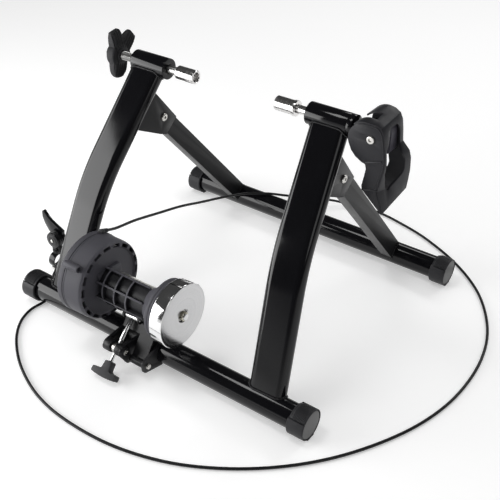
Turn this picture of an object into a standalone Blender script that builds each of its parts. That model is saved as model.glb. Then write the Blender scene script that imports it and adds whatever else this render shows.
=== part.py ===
"""A folding indoor bike trainer: floor frame, axle clamps, magnetic roller unit and a shifter on its cable.

X runs along the crossbars, Y from the main crossbar to the folding one, and Z up. Sizes are metres.
Pieces are placed with Y = 0 on the main crossbar's axis. One empty then shifts them all, so that the
origin lies on the floor under the middle of the trainer. The cam lever is shut, the rear frame is
unfolded and the roller is at the height that the tension bolt gives it.
"""

import math

import bmesh
import bpy
from mathutils import Euler, Matrix, Vector

# Fits
GAP = 0.0003  # between pieces that touch
PIVOT_PLAY = 0.0005  # round the cross pin, whose seat opens the tension bolt's closed linkage

# Floor frame
CROSSBAR_LENGTH = 0.545  # over its two feet
CROSSBAR_SPACING = 0.428
CROSSBAR_R = 0.019
CROSSBAR_WALL = 0.0015
FOOT_WALL = 0.0042
FOOT_R = CROSSBAR_R + GAP + FOOT_WALL
FOOT_DEPTH = 0.027
FOOT_END_WALL = 0.003
FOOT_EDGE = 0.002
FOOT_PAD_WIDTH = 0.016
FOOT_PAD_DROP = 0.001  # the flat pad stands this far below the round cap
FOOT_PAD_RISE = 0.004
CROSSBAR_Z = FOOT_R + FOOT_PAD_DROP
MAIN_AXIS = Vector((0, CROSSBAR_Z))
REAR_AXIS = Vector((CROSSBAR_SPACING, CROSSBAR_Z))

# Uprights: a flat-oval tube, bent once
UPRIGHT_WIDTH = 0.057
UPRIGHT_THICKNESS = 0.023
UPRIGHT_WALL = 0.0015
UPRIGHT_SQUARENESS = 2.5  # exponent of the oval, 2 being an ellipse
UPRIGHT_FOOT_X = 0.198  # from the trainer's middle to where each one stands on the crossbar
KNEE = Vector((0.179, 0.079, 0.212))
BEND_REACH = 0.045
AXLE_Y = 0.2006
AXLE_Z = 0.3657
UPRIGHT_TOP_X = 0.160

# Axle clamps
BARREL_R = 0.016
BARREL_WALL = 0.0025
BARREL_LENGTH = 0.064
BARREL_X = 0.157  # the barrel's middle
BARREL_INNER_X = BARREL_X - BARREL_LENGTH / 2
BARREL_OUTER_X = BARREL_X + BARREL_LENGTH / 2
BUSH_INSET = 0.001
SCREW_R = 0.007
NOSE_R = 0.0063
NOSE_END_X = 0.107
CUP_R = 0.0095
CUP_X = 0.0725  # from the middle to the left cup's face
CUP_LENGTH = 0.0335
CUP_RECESS_R = 0.0068
CUP_RECESS_DEPTH = 0.015
CUP_EDGE = 0.0008
SPIGOT_R = 0.004
SPIGOT_LENGTH = 0.013
KNOB_X = 0.224  # the knob's inner face
KNOB_DEPTH = 0.014
KNOB_HUB_R = 0.021
KNOB_LOBES = ((96, 0.040, 16), (37, 0.0415, 16), (-98, 0.0375, 23))  # degrees from +Y, reach and spread
KNOB_BOSS_R = 0.013
KNOB_BOSS = 0.006
KNOB_SPIGOT_R = 0.005

# Cam end of the right clamp
CAM_PIN_X = 0.231
CAM_PIN_R = 0.0035
CAM_HEAD_R = 0.006
CAM_SWING = 60.0  # degrees from shut to open
CAM_SHUT_R = 0.0135
CAM_OPEN_R = 0.0065
CAM_WIDTH = 0.0124
BLOCK_NOSE_R = 0.0145
BLOCK_NEAR = 0.0165  # from the clamp's axis to the block's near side, and to its far one
BLOCK_FAR = 0.0264
BLOCK_NECK_R = 0.0072
BLOCK_FLANGE = 0.0075
BLOCK_DROP = 0.030  # from the pin's axis to the block's underside
RIGHT_CUP_X = 0.071
RIGHT_CUP_LENGTH = 0.029
RIGHT_RIM_R = 0.010
RIGHT_RIM = 0.005
COLLAR_X = 0.172
COLLAR_R = 0.010
COLLAR_WIDTH = 0.003
ROD_STEP_X = 0.180
PUSH_ROD_R = 0.004
ROD_DOME_R = 0.008
GUIDE_LENGTH = 0.020
SPRING_R = 0.0098
SPRING_BORE_R = 0.0072
LEVER_CHEEK = 0.004
LEVER_NEAR = 0.02175  # from the clamp's axis to the lever's near side, and to its far one
LEVER_FAR = 0.0314
LEVER_SHELL = 0.0025
LEVER_ROUND = (0.222, 0.361, 0.0245)  # middle and radius of the near cheek's round head, seen from the side
LEVER_FAR_ROUND = (0.2275, 0.3690, 0.0228)
HOOD_NOTCH = 0.016

# Rear frame and its hinges, set on the upper run of each upright
ARM_X = 0.165
ARM_WIDTH = 0.020
ARM_HEIGHT = 0.030
ARM_WALL = 0.0015
HINGE_RISE = 0.1318  # along the upright from its knee
HINGE_REACH = 0.0666  # out from the upright's middle line
BRACKET_PLATE = 0.0025
BRACKET_BACK = 0.003
BOLT_R = 0.004
BOLT_HEAD_R = 0.0065
BOLT_HEAD = 0.0025
NUT_HEIGHT = 0.0045

# Resistance unit, about its roller's axis
UNIT_Y = -0.004
UNIT_Z = 0.113
SHAFT_R = 0.005
SHAFT_SPAN = (-0.126, 0.063)
DRUM_BACK_X = -0.1296
DRUM_SPLIT_X = -0.118
DRUM_FRONT_X = -0.0816
DRUM_R = 0.0635
DRUM_LIP = 0.001  # the back shell stands this far outside the front shell
DRUM_WALL = 0.0025
DISH_DEPTH = 0.0034
DISH_R = 0.0515
HUB_R = 0.016
HUB_X = -0.080
VENTS = 22
VENT_R = 0.0570
VENT_WIDTH = 0.003
VENT_LENGTH = 0.009
POST_R = 0.0055
POST_ANGLE = 137.0
POST_OUT = 0.0680
POST_SPAN = (DRUM_SPLIT_X, -0.090)
ROTOR_R = 0.052
ROTOR_SPAN = (-0.104, -0.101)
ROTOR_HUB_R = 0.009
ROTOR_HUB_X = -0.110
MAGNET_R = 0.048
MAGNET_BORE_R = 0.028
FIXED_MAGNET_SPAN = (-0.116, -0.108)
SWING_MAGNET_SPAN = (-0.098, -0.090)
BEARING_R = 0.011
BEARING_WIDTH = 0.008
LEFT_BEARING_X = -0.127
RIGHT_BEARING_X = 0.025
ROLLER_R = 0.020
ROLLER_SPAN = (-0.065, 0.015)
FLYWHEEL_R = 0.0493
FLYWHEEL_SPAN = (0.036, 0.0577)
FLYWHEEL_EDGE = 0.0012
FLYWHEEL_RECESS_R = 0.010
FLYWHEEL_RECESS = 0.005
WASHER_R = 0.0085
WASHER = 0.0015
NUT_R = 0.0072

# Yoke round the roller
YOKE_R = 0.028
YOKE_BORE_R = 0.025
YOKE_ARC = (100.0, 262.0)  # degrees from +Y toward +Z
YOKE_SPAN = (-0.081, 0.008)
YOKE_RAIL_R = 0.033
YOKE_RAILS = (105.0, 150.0, 195.0, 240.0)
YOKE_RIBS = (-0.068, -0.0455, -0.023)
YOKE_RIB = 0.003
CONE_SPAN = (0.005, 0.0245)
FLANGE_R = 0.045
FLANGE_SPAN = (0.024, 0.0335)
PAD_Y = (-0.0215, 0.014)
PAD_Z = (0.082, 0.088)
PAD_SPAN = (-0.060, 0.0045)
YOKE_SCREW_R = 0.0025
YOKE_SCREW_Y = 0.008
YOKE_SCREWS_X = (-0.042, -0.004)

# Bracket on the main crossbar, the swinging bracket and the tension bolt: points are (Y, Z)
PIVOT = Vector((-0.040, 0.022))
PIVOT_R = 0.004
TRUNNION = Vector((-0.0495, 0.0385))
CROSS_PIN = Vector((-0.012, 0.0735))
CROSS_PIN_R = 0.004
BOLT_PLANE_X = -0.034
SADDLE_WALL = 0.003
SADDLE_ARC = (70.0, 262.0)
SADDLE_SPAN = (-0.055, 0.015)
EAR_PLATE = 0.004
LEFT_EAR_X = -0.055
MIDDLE_EAR_X = -0.024
RIGHT_EAR_X = 0.011
EAR_BOSS_R = 0.010
SLEEVE_R = 0.0065
SWING_PLATE = 0.004
SWING_TOP_Y = 0.002
SWING_NOTCH_Z = 0.054  # the plate is wider above this
FORK_EAR = 0.003
FORK_SPAN = (-0.050, -0.018)
FORK_R = 0.008
TRUNNION_R = 0.007
TRUNNION_PIN_R = 0.0045
TENSION_ROD_R = 0.003
TENSION_SPIGOT_R = 0.002
HUB_START = 0.022  # past the trunnion, along the bolt
HUB_LENGTH = 0.015
KNOB_HUB = 0.006
TENSION_BAR = (0.044, 0.013, 0.010)
TENSION_BAR_EDGE = 0.002

# Shifter, standing on the floor on its clamp, and the cable
SHIFTER = Vector((-0.295, 0.077, 0.058))
SHIFTER_R = 0.015
SHIFTER_WIDTH = 0.014
THUMB_HUB_R = 0.0145
THUMB_THICKNESS = 0.006
THUMB_TIP = Vector((-0.0290, 0.0395))  # from the thumb lever's axis, as (X, Z)
THUMB_TIP_R = 0.0035
CLAMP_R = 0.014
CLAMP_BORE_R = 0.0113
CLAMP_X = -0.297
CLAMP_Z = 0.0165
CLAMP_WIDTH = 0.012
CLAMP_SCREW_R = 0.0018
ADJUSTER_X = -0.284
ADJUSTER_R = 0.0035
ADJUSTER_END_Z = 0.038
GLAND_R = 0.0045
GLAND_LENGTH = 0.018
CABLE_R = 0.00225
CABLE_STEPS = 2  # points of the tube for each stretch of the route
CABLE_START = Vector((-0.120, 0.0357, 0.1672))
CABLE_ROUTE = (
    (-0.124, 0.060, 0.157), (-0.134, 0.112, 0.140), (-0.142, 0.175, 0.118), (-0.145, 0.234, 0.100),
    (-0.146, 0.290, 0.080), (-0.146, 0.350, 0.060), (-0.132, 0.398, 0.0495), (-0.111, 0.419, 0.0472),
    (-0.095, 0.431, 0.0466), (-0.070, 0.457, 0.038), (-0.017, 0.523, 0.015), (0.025, 0.547, 0.0045),
    (0.070, 0.556, 0.0025), (0.121, 0.547, 0.0025), (0.185, 0.527, 0.0025), (0.263, 0.486, 0.0025),
    (0.328, 0.430, 0.0025), (0.375, 0.356, 0.0025), (0.397, 0.280, 0.0025), (0.400, 0.198, 0.0025),
    (0.387, 0.125, 0.0025), (0.360, 0.057, 0.0025), (0.318, -0.012, 0.0025), (0.266, -0.070, 0.0025),
    (0.205, -0.117, 0.0025), (0.138, -0.151, 0.0025), (0.060, -0.171, 0.0025), (-0.023, -0.174, 0.0025),
    (-0.090, -0.163, 0.0025), (-0.152, -0.137, 0.0025), (-0.201, -0.103, 0.0025), (-0.231, -0.069, 0.0025),
    (-0.243, -0.037, 0.0025), (-0.241, -0.010, 0.0025), (-0.242, 0.010, 0.0025), (-0.252, 0.024, 0.0025),
    (-0.266, 0.034, 0.0025), (-0.278, 0.047, 0.0045), (-0.283, 0.060, 0.0105),
    (-0.284, 0.0715, 0.021), (-0.284, 0.077, 0.031),
)

# Sides of round pieces
BIG = 26
MEDIUM = 20
SMALL = 14

# The middle of the trainer, between the tension bar's near side and the far feet
REAR_REACH = CROSSBAR_SPACING + FOOT_R
BOLT_AXIS = (TRUNNION - CROSS_PIN).normalized()
BAR_MIDDLE = TRUNNION + BOLT_AXIS * (HUB_START + HUB_LENGTH + TENSION_BAR[2] / 2)
BAR_HALF = (TENSION_BAR[2] / 2 - TENSION_BAR_EDGE, TENSION_BAR[1] / 2 - TENSION_BAR_EDGE)
BAR_DROP = abs(BOLT_AXIS.x) * BAR_HALF[0] + abs(BOLT_AXIS.y) * BAR_HALF[1] + TENSION_BAR_EDGE
BAR_REACH = BAR_MIDDLE.x - BAR_DROP
MIDDLE_Y = (REAR_REACH + BAR_REACH) / 2

AXES = {}
FACING = {"X": Euler((math.pi / 2, 0, math.pi / 2)), "Y": Euler((math.pi / 2, 0, 0)), "Z": Euler((0, 0, 0))}


def clear_scene():
    for obj in list(bpy.data.objects):
        bpy.data.objects.remove(obj, do_unlink=True)


def new_collection(name, helper=False):
    collection = bpy.data.collections.new(name)
    collection.hide_render = helper
    bpy.context.scene.collection.children.link(collection)
    return collection


def new_material(name, color, roughness, metallic=0.0):
    material = bpy.data.materials.new(name)
    material.use_nodes = True
    shader = material.node_tree.nodes["Principled BSDF"]
    shader.inputs["Base Color"].default_value = (*color, 1.0)
    shader.inputs["Roughness"].default_value = roughness
    shader.inputs["Metallic"].default_value = metallic
    return material


def new_axis(name, point, carrier=None):
    """An empty on a joint's axis, given as a point of the frame in which the pieces are placed."""
    empty = bpy.data.objects.new(name, None)
    parts.objects.link(empty)
    empty.location = Vector(point)
    if carrier:
        empty.parent = AXES[carrier][0]
        empty.location -= AXES[carrier][1]
    AXES[name] = (empty, Vector(point))


def new_object(name, data):
    obj = bpy.data.objects.new(name, data)
    parts.objects.link(obj)
    return obj


def realised(obj):
    """The object with its curve or its modifiers turned into a welded mesh."""
    bpy.context.view_layer.update()
    graph = bpy.context.evaluated_depsgraph_get()
    mesh = bpy.data.meshes.new_from_object(obj.evaluated_get(graph))
    work = bmesh.new()
    work.from_mesh(mesh)
    bmesh.ops.remove_doubles(work, verts=work.verts, dist=0.00001)
    bmesh.ops.recalc_face_normals(work, faces=work.faces)
    work.to_mesh(mesh)
    work.free()
    mesh.shade_smooth()
    mesh.set_sharp_from_angle(angle=math.radians(35))
    name = obj.name
    solid = bpy.data.objects.new(name, mesh)
    parts.objects.link(solid)
    solid.matrix_world = obj.matrix_world
    bpy.data.objects.remove(obj, do_unlink=True)
    solid.name = name
    mesh.name = name
    return solid


def turned(name, profile, base, direction, steps=MEDIUM):
    """A solid of revolution. The profile's (radius, distance) points run down the outer side from the
    far end; one that starts off the axis is a closed ring."""
    points = [(radius, 0, distance) for radius, distance in profile]
    edges = [(k, k + 1) for k in range(len(points) - 1)]
    if profile[0][0] > 0:
        edges.append((len(points) - 1, 0))
    mesh = bpy.data.meshes.new(name)
    mesh.from_pydata(points, edges, [])
    obj = new_object(name, mesh)
    turn = obj.modifiers.new("turn", "SCREW")
    turn.axis = "Z"
    turn.angle = math.tau
    turn.steps = steps
    turn.render_steps = steps
    turn.use_merge_vertices = True
    turn.merge_threshold = 0.00001
    obj.rotation_euler = Vector((0, 0, 1)).rotation_difference(Vector(direction)).to_euler()
    obj.location = base
    return realised(obj)


def ring(name, outer, inner, low, high, centre, steps=MEDIUM):
    """A tube along X between two X positions, round a (Y, Z) point."""
    profile = ((outer, high), (outer, low), (inner, low), (inner, high))
    return turned(name, profile, (0, centre[0], centre[1]), (1, 0, 0), steps)


def rod(name, radius, low, high, centre, steps=MEDIUM):
    """A solid cylinder along X between two X positions, round a (Y, Z) point."""
    profile = ((0, high), (radius, high), (radius, low), (0, low))
    return turned(name, profile, (0, centre[0], centre[1]), (1, 0, 0), steps)


def hex_nut(name, radius, bore, low, high, centre):
    """A six-sided nut along X between two X positions, round a (Y, Z) point."""
    return slab(name, (circle((0, 0), radius, 6), circle((0, 0), bore)), "X", low, high, centre)


def pin_along(name, radius, start, end, steps=SMALL):
    """A solid cylinder between two points."""
    along = Vector(end) - Vector(start)
    profile = ((0, along.length), (radius, along.length), (radius, 0), (0, 0))
    return turned(name, profile, start, along, steps)


def slab(name, outlines, facing, low, high, centre=(0, 0)):
    """Flat outlines with holes, extruded along the axis that they face between two positions on it."""
    curve = bpy.data.curves.new(name, "CURVE")
    curve.dimensions = "2D"
    curve.fill_mode = "BOTH"
    curve.extrude = (high - low) / 2
    for outline in outlines:
        spline = curve.splines.new("POLY")
        spline.points.add(len(outline) - 1)
        spline.use_cyclic_u = True
        for point, spot in zip(spline.points, outline):
            point.co = (spot[0], spot[1], 0, 1)
    obj = new_object(name, curve)
    obj.rotation_euler = FACING[facing]
    middle = (low + high) / 2
    place = list(centre)
    place.insert("XYZ".index(facing), middle)
    obj.location = place
    return realised(obj)


def block(name, low, high):
    """A box between two corners."""
    work = bmesh.new()
    size = Vector(high) - Vector(low)
    bmesh.ops.create_cube(work, size=1.0, matrix=Matrix.Diagonal((*size, 1)))
    mesh = bpy.data.meshes.new(name)
    work.to_mesh(mesh)
    work.free()
    obj = new_object(name, mesh)
    obj.location = (Vector(low) + Vector(high)) / 2
    return obj


def bevelled(obj, width, segments=2):
    """Rounds a piece's sharp edges before anything is cut from it."""
    edge = obj.modifiers.new("edge", "BEVEL")
    edge.width = width
    edge.segments = segments
    edge.limit_method = "ANGLE"
    edge.angle_limit = math.radians(40)
    edge.use_clamp_overlap = True
    return obj


def use_helper(obj, helper, operation):
    parts.objects.unlink(helper)
    cutters.objects.link(helper)
    helper.hide_render = True
    helper.display_type = "WIRE"
    boolean = obj.modifiers.new(helper.name, "BOOLEAN")
    boolean.operation = operation
    boolean.solver = "EXACT"
    boolean.object = helper


def cut(obj, *helpers):
    for helper in helpers:
        use_helper(obj, helper, "DIFFERENCE")


def join(obj, *helpers):
    for helper in helpers:
        use_helper(obj, helper, "UNION")


def helpers_of(obj):
    """The cutters and added shapes of a piece, with theirs in turn."""
    found = []
    for modifier in obj.modifiers:
        if modifier.type == "BOOLEAN":
            found += [modifier.object, *helpers_of(modifier.object)]
    return found


def finish(obj, material, carrier="trainer"):
    """Gives a piece its material, and hangs it and its helpers on the empty that carries them."""
    obj.data.materials.append(material)
    empty, point = AXES[carrier]
    for each in (obj, *helpers_of(obj)):
        each.parent = empty
        each.location -= point
    return obj


def arc(centre, radius, start, end, steps):
    """Points of an arc, with its angles in degrees."""
    turn = [math.radians(start + (end - start) * k / steps) for k in range(steps + 1)]
    return [(centre[0] + radius * math.cos(a), centre[1] + radius * math.sin(a)) for a in turn]


def circle(centre, radius, steps=SMALL):
    return arc(centre, radius, 0, 360, steps)[:-1]


def sector(outer, inner, start, end, steps):
    """The outline of a part of a flat ring."""
    return arc((0, 0), outer, start, end, steps) + arc((0, 0), inner, end, start, steps)


def fillet(before, corner, after, reach, steps):
    """An arc in place of a corner, touching both sides at a distance from it."""
    back = (before - corner).normalized()
    on = (after - corner).normalized()
    centre = corner + (back + on).normalized() * reach / math.cos(back.angle(on) / 2)
    start = corner + back * reach - centre
    end = corner + on * reach - centre
    turn = start.angle(end)
    shares = [k / steps for k in range(steps + 1)]
    return [
        centre + (start * math.sin((1 - t) * turn) + end * math.sin(t * turn)) / math.sin(turn)
        for t in shares
    ]


def rounded(corners, reach, steps=4):
    """A closed outline with every corner rounded."""
    corners = [Vector(corner) for corner in corners]
    outline = []
    for k, corner in enumerate(corners):
        outline += fillet(corners[k - 1], corner, corners[(k + 1) % len(corners)], reach, steps)
    return outline


def oval(width, thickness, steps=20):
    """A superellipse between a rounded rectangle and an ellipse, its width along Y."""
    power = 2 / UPRIGHT_SQUARENESS
    points = []
    for k in range(steps):
        turn = math.tau * k / steps
        across = math.copysign(abs(math.cos(turn)) ** power, math.cos(turn))
        along = math.copysign(abs(math.sin(turn)) ** power, math.sin(turn))
        points.append((across * thickness / 2, along * width / 2))
    return points


def upright_points(side):
    foot = Vector((side * UPRIGHT_FOOT_X, 0, CROSSBAR_Z))
    knee = Vector((side * KNEE.x, KNEE.y, KNEE.z))
    top = Vector((side * UPRIGHT_TOP_X, AXLE_Y, AXLE_Z))
    return foot, knee, top


def upright_sweep(name, side, width, thickness, overrun=0.0):
    """The oval run along an upright's bent middle line, with its thickness in the plane of the bend."""
    foot, knee, top = upright_points(side)
    along = (knee - foot).normalized()
    across = along.cross(top - knee).normalized()
    inward = across.cross(along)
    foot = foot - along * overrun
    top = top + (top - knee).normalized() * overrun
    flat = [Vector(((p - foot).dot(along), (p - foot).dot(inward), 0)) for p in (foot, knee, top)]
    path = [flat[0], *fillet(*flat, BEND_REACH, 5), flat[2]]
    section = bpy.data.curves.new(name + "_section", "CURVE")
    section.dimensions = "2D"
    spline = section.splines.new("POLY")
    outline = oval(width, thickness)
    spline.points.add(len(outline) - 1)
    spline.use_cyclic_u = True
    for point, spot in zip(spline.points, outline):
        point.co = (spot[0], spot[1], 0, 1)
    guide = new_object(name + "_section", section)
    curve = bpy.data.curves.new(name, "CURVE")
    curve.dimensions = "3D"
    curve.twist_mode = "Z_UP"
    curve.bevel_mode = "OBJECT"
    curve.bevel_object = guide
    curve.use_fill_caps = True
    run = curve.splines.new("POLY")
    run.points.add(len(path) - 1)
    for point, spot in zip(run.points, path):
        point.co = (*spot, 1)
    obj = new_object(name, curve)
    frame = Matrix((along, inward, across)).transposed().to_4x4()
    frame.translation = foot
    obj.matrix_world = frame
    solid = realised(obj)
    bpy.data.objects.remove(guide, do_unlink=True)
    return solid


def side_name(side):
    return "right" if side > 0 else "left"


def ordered(side, near, far):
    """Two distances from the middle as (low, high) X positions on one side."""
    return tuple(sorted((side * near, side * far)))


def build_crossbar(name, axis, carrier):
    half = CROSSBAR_LENGTH / 2 - FOOT_END_WALL - GAP
    bar = ring(name, CROSSBAR_R, CROSSBAR_R - CROSSBAR_WALL, -half, half, axis, BIG)
    finish(bar, black_paint, carrier)


def build_foot(name, side, axis, carrier):
    """A cap on a crossbar's end, with a flat pad to stand on."""
    bore = CROSSBAR_R + GAP
    profile = (
        (0, FOOT_DEPTH),
        (FOOT_R - FOOT_EDGE, FOOT_DEPTH),
        (FOOT_R, FOOT_DEPTH - FOOT_EDGE),
        (FOOT_R, 0),
        (bore, 0),
        (bore, FOOT_DEPTH - FOOT_END_WALL),
        (0, FOOT_DEPTH - FOOT_END_WALL),
    )
    base = (side * (CROSSBAR_LENGTH / 2 - FOOT_DEPTH), *axis)
    cap = turned(name, profile, base, (side, 0, 0), BIG)
    low_x, high_x = ordered(side, CROSSBAR_LENGTH / 2 - FOOT_DEPTH, CROSSBAR_LENGTH / 2)
    half = FOOT_PAD_WIDTH / 2
    floor = axis[1] - CROSSBAR_Z
    low = (low_x, axis[0] - half, floor)
    high = (high_x, axis[0] + half, floor + FOOT_PAD_RISE)
    pad = block(name + "_pad", low, high)
    join(cap, pad)
    finish(cap, cap_plastic, carrier)


def build_upright(side):
    name = side_name(side) + "_upright"
    tube = upright_sweep(name, side, UPRIGHT_WIDTH, UPRIGHT_THICKNESS)
    bore_width = UPRIGHT_WIDTH - 2 * UPRIGHT_WALL
    bore_thickness = UPRIGHT_THICKNESS - 2 * UPRIGHT_WALL
    inner = upright_sweep(name + "_bore", side, bore_width, bore_thickness, overrun=0.004)
    low_x, high_x = ordered(side, UPRIGHT_FOOT_X - UPRIGHT_WIDTH, UPRIGHT_FOOT_X + UPRIGHT_WIDTH)
    foot_cope = rod(name + "_foot_cope", CROSSBAR_R + GAP, low_x, high_x, MAIN_AXIS, BIG)
    low_x, high_x = ordered(side, UPRIGHT_TOP_X - UPRIGHT_WIDTH, UPRIGHT_TOP_X + UPRIGHT_WIDTH)
    top_cope = rod(name + "_top_cope", BARREL_R + GAP, low_x, high_x, (AXLE_Y, AXLE_Z), BIG)
    cut(tube, inner, foot_cope, top_cope)
    finish(tube, black_paint)


def build_barrel(side):
    name = side_name(side) + "_clamp_barrel"
    low_x, high_x = ordered(side, BARREL_INNER_X, BARREL_OUTER_X)
    barrel = ring(name, BARREL_R, BARREL_R - BARREL_WALL, low_x, high_x, (AXLE_Y, AXLE_Z), MEDIUM)
    finish(barrel, black_paint)


def on_upright(rise, reach):
    """A (Y, Z) point beside the uprights' upper run, by distance from the knee and from the middle line."""
    knee = Vector((KNEE.y, KNEE.z))
    along = (Vector((AXLE_Y, AXLE_Z)) - knee).normalized()
    return knee + along * rise + Vector((along.y, -along.x)) * reach


HINGE = on_upright(HINGE_RISE, HINGE_REACH)


def build_hinge_bracket(side):
    """Two plates and a back, folded from one sheet and welded to the upright, with the arm between them."""
    name = side_name(side) + "_hinge_bracket"
    inner = ARM_X - ARM_WIDTH / 2 - GAP
    outer = ARM_X + ARM_WIDTH / 2 + GAP
    face = UPRIGHT_THICKNESS / 2 - 0.004
    corners = (
        (HINGE_RISE + 0.0314, face),
        (HINGE_RISE + 0.0103, HINGE_REACH + 0.0301),
        (HINGE_RISE - 0.0227, HINGE_REACH + 0.0230),
        (HINGE_RISE - 0.0266, HINGE_REACH + 0.0083),
        (HINGE_RISE - 0.0383, face),
    )
    outline = [on_upright(*corner) for corner in corners]
    hole = circle(HINGE, BOLT_R + GAP)
    bracket = slab(name, (outline, hole), "X", *ordered(side, inner - BRACKET_PLATE, inner))
    plate_span = ordered(side, outer, outer + BRACKET_PLATE)
    far_plate = slab(name + "_outer_plate", (outline, hole), "X", *plate_span)
    back_corners = (
        (HINGE_RISE + 0.0285, face + 0.0005),
        (HINGE_RISE + 0.0280, UPRIGHT_THICKNESS / 2 + BRACKET_BACK),
        (HINGE_RISE - 0.0350, UPRIGHT_THICKNESS / 2 + BRACKET_BACK),
        (HINGE_RISE - 0.0355, face + 0.0005),
    )
    back = slab(
        name + "_back",
        ([on_upright(*corner) for corner in back_corners],),
        "X",
        *ordered(side, inner - BRACKET_PLATE / 2, outer + BRACKET_PLATE / 2),
    )
    join(bracket, far_plate, back)
    grown = 2 * GAP
    cut(bracket, upright_sweep(name + "_cope", side, UPRIGHT_WIDTH + grown, UPRIGHT_THICKNESS + grown))
    finish(bracket, satin_black)


def build_hinge_bolt(side):
    """A bolt whose head faces +X on both sides, and its nut."""
    reach = ARM_WIDTH / 2 + GAP + BRACKET_PLATE
    head_x = side * ARM_X + reach + GAP
    nut_x = side * ARM_X - reach - GAP
    end_x = nut_x - NUT_HEIGHT - 0.001
    profile = (
        (0, head_x + BOLT_HEAD),
        (BOLT_HEAD_R - 0.0015, head_x + BOLT_HEAD),
        (BOLT_HEAD_R, head_x + BOLT_HEAD - 0.001),
        (BOLT_HEAD_R, head_x),
        (BOLT_R, head_x),
        (BOLT_R, end_x),
        (0, end_x),
    )
    bolt = turned(side_name(side) + "_hinge_bolt", profile, (0, *HINGE), (1, 0, 0), SMALL)
    finish(bolt, bright_steel)
    nut_name = side_name(side) + "_hinge_nut"
    nut = hex_nut(nut_name, BOLT_HEAD_R + 0.0008, BOLT_R + GAP, nut_x - NUT_HEIGHT, nut_x, HINGE)
    finish(nut, bright_steel)


def build_rear_arm(side):
    """A rectangular tube, round at its hinge and coped onto the rear crossbar."""
    name = side_name(side) + "_rear_arm"
    along = (REAR_AXIS - HINGE).normalized()
    square = Vector((along.y, -along.x))
    length = (REAR_AXIS - HINGE).length
    half = ARM_HEIGHT / 2
    turn = math.degrees(math.atan2(along.y, along.x))
    outline = arc(HINGE, half, turn + 90, turn + 270, 12)
    outline += [HINGE + along * length + square * half, HINGE + along * length - square * half]
    hole = circle(HINGE, BOLT_R + GAP)
    arm = slab(name, (outline, hole), "X", *ordered(side, ARM_X - ARM_WIDTH / 2, ARM_X + ARM_WIDTH / 2))
    inner = half - ARM_WALL
    start = HINGE + along * (BOLT_R + 0.012)
    end = HINGE + along * (length + 0.005)
    hollow = [start + square * inner, end + square * inner, end - square * inner, start - square * inner]
    half_bore = ARM_WIDTH / 2 - ARM_WALL
    bore = slab(name + "_bore", (hollow,), "X", *ordered(side, ARM_X - half_bore, ARM_X + half_bore))
    cope_span = ordered(side, ARM_X - ARM_WIDTH, ARM_X + ARM_WIDTH)
    cope = rod(name + "_cope", CROSSBAR_R + GAP, *cope_span, REAR_AXIS, BIG)
    cut(arm, bore, cope)
    finish(arm, satin_black, "rear_fold_axis")


def knob_outline(steps=60):
    """The wing knob's edge: a round hub from which three blunt lobes swell."""
    points = []
    for k in range(steps):
        turn = 360 * k / steps
        radius = KNOB_HUB_R
        for direction, reach, spread in KNOB_LOBES:
            off = (turn - direction + 180) % 360 - 180
            radius = max(radius, KNOB_HUB_R + (reach - KNOB_HUB_R) * math.exp(-((off / spread) ** 4)))
        angle = math.radians(turn)
        points.append((radius * math.cos(angle), radius * math.sin(angle)))
    return points


def build_left_clamp():
    """The screw side: threaded bush, screw with its wing knob, and a cup that turns freely on its nose."""
    axle = (AXLE_Y, AXLE_Z)
    bore_r = BARREL_R - BARREL_WALL - GAP
    bush_span = (-BARREL_OUTER_X + BUSH_INSET, -BARREL_INNER_X - BUSH_INSET)
    finish(ring("left_thread_bush", bore_r, SCREW_R + GAP, *bush_span, axle), zinc)
    spigot_end = KNOB_X + KNOB_DEPTH
    cup_back = CUP_X + CUP_LENGTH
    profile = (
        (0, -cup_back + SPIGOT_LENGTH),
        (SPIGOT_R, -cup_back + SPIGOT_LENGTH),
        (SPIGOT_R, -NOSE_END_X),
        (NOSE_R, -NOSE_END_X),
        (NOSE_R, -BARREL_INNER_X - BUSH_INSET),
        (SCREW_R, -BARREL_INNER_X - BUSH_INSET - 0.001),
        (SCREW_R, -KNOB_X + GAP),
        (KNOB_SPIGOT_R, -KNOB_X + GAP),
        (KNOB_SPIGOT_R, -spigot_end),
        (0, -spigot_end),
    )
    finish(turned("left_screw", profile, (0, *axle), (1, 0, 0)), zinc, "left_clamp_axis")
    cup_profile = (
        (0, -CUP_X - CUP_RECESS_DEPTH),
        (CUP_RECESS_R, -CUP_X - CUP_RECESS_DEPTH),
        (CUP_RECESS_R, -CUP_X),
        (CUP_R - CUP_EDGE, -CUP_X),
        (CUP_R, -CUP_X - CUP_EDGE),
        (CUP_R, -cup_back + CUP_EDGE),
        (CUP_R - CUP_EDGE, -cup_back),
        (SPIGOT_R + GAP, -cup_back),
        (SPIGOT_R + GAP, -cup_back + SPIGOT_LENGTH + GAP),
        (0, -cup_back + SPIGOT_LENGTH + GAP),
    )
    finish(turned("left_axle_cup", cup_profile, (0, *axle), (1, 0, 0)), chrome, "left_clamp_axis")
    knob = slab("left_wing_knob", (knob_outline(),), "X", -KNOB_X - KNOB_DEPTH, -KNOB_X, axle)
    bevelled(knob, 0.002, 1)
    boss_end = -KNOB_X - KNOB_DEPTH - KNOB_BOSS
    boss_profile = (
        (0, -KNOB_X - 0.004),
        (KNOB_BOSS_R, -KNOB_X - 0.004),
        (KNOB_BOSS_R, boss_end + 0.003),
        (KNOB_BOSS_R - 0.003, boss_end),
        (0, boss_end),
    )
    join(knob, turned("left_wing_knob_boss", boss_profile, (0, *axle), (1, 0, 0)))
    bore_span = (-spigot_end - GAP, -KNOB_X + 0.002)
    cut(knob, rod("left_wing_knob_bore", KNOB_SPIGOT_R + GAP, *bore_span, axle, SMALL))
    finish(knob, cap_plastic, "left_clamp_axis")


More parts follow.
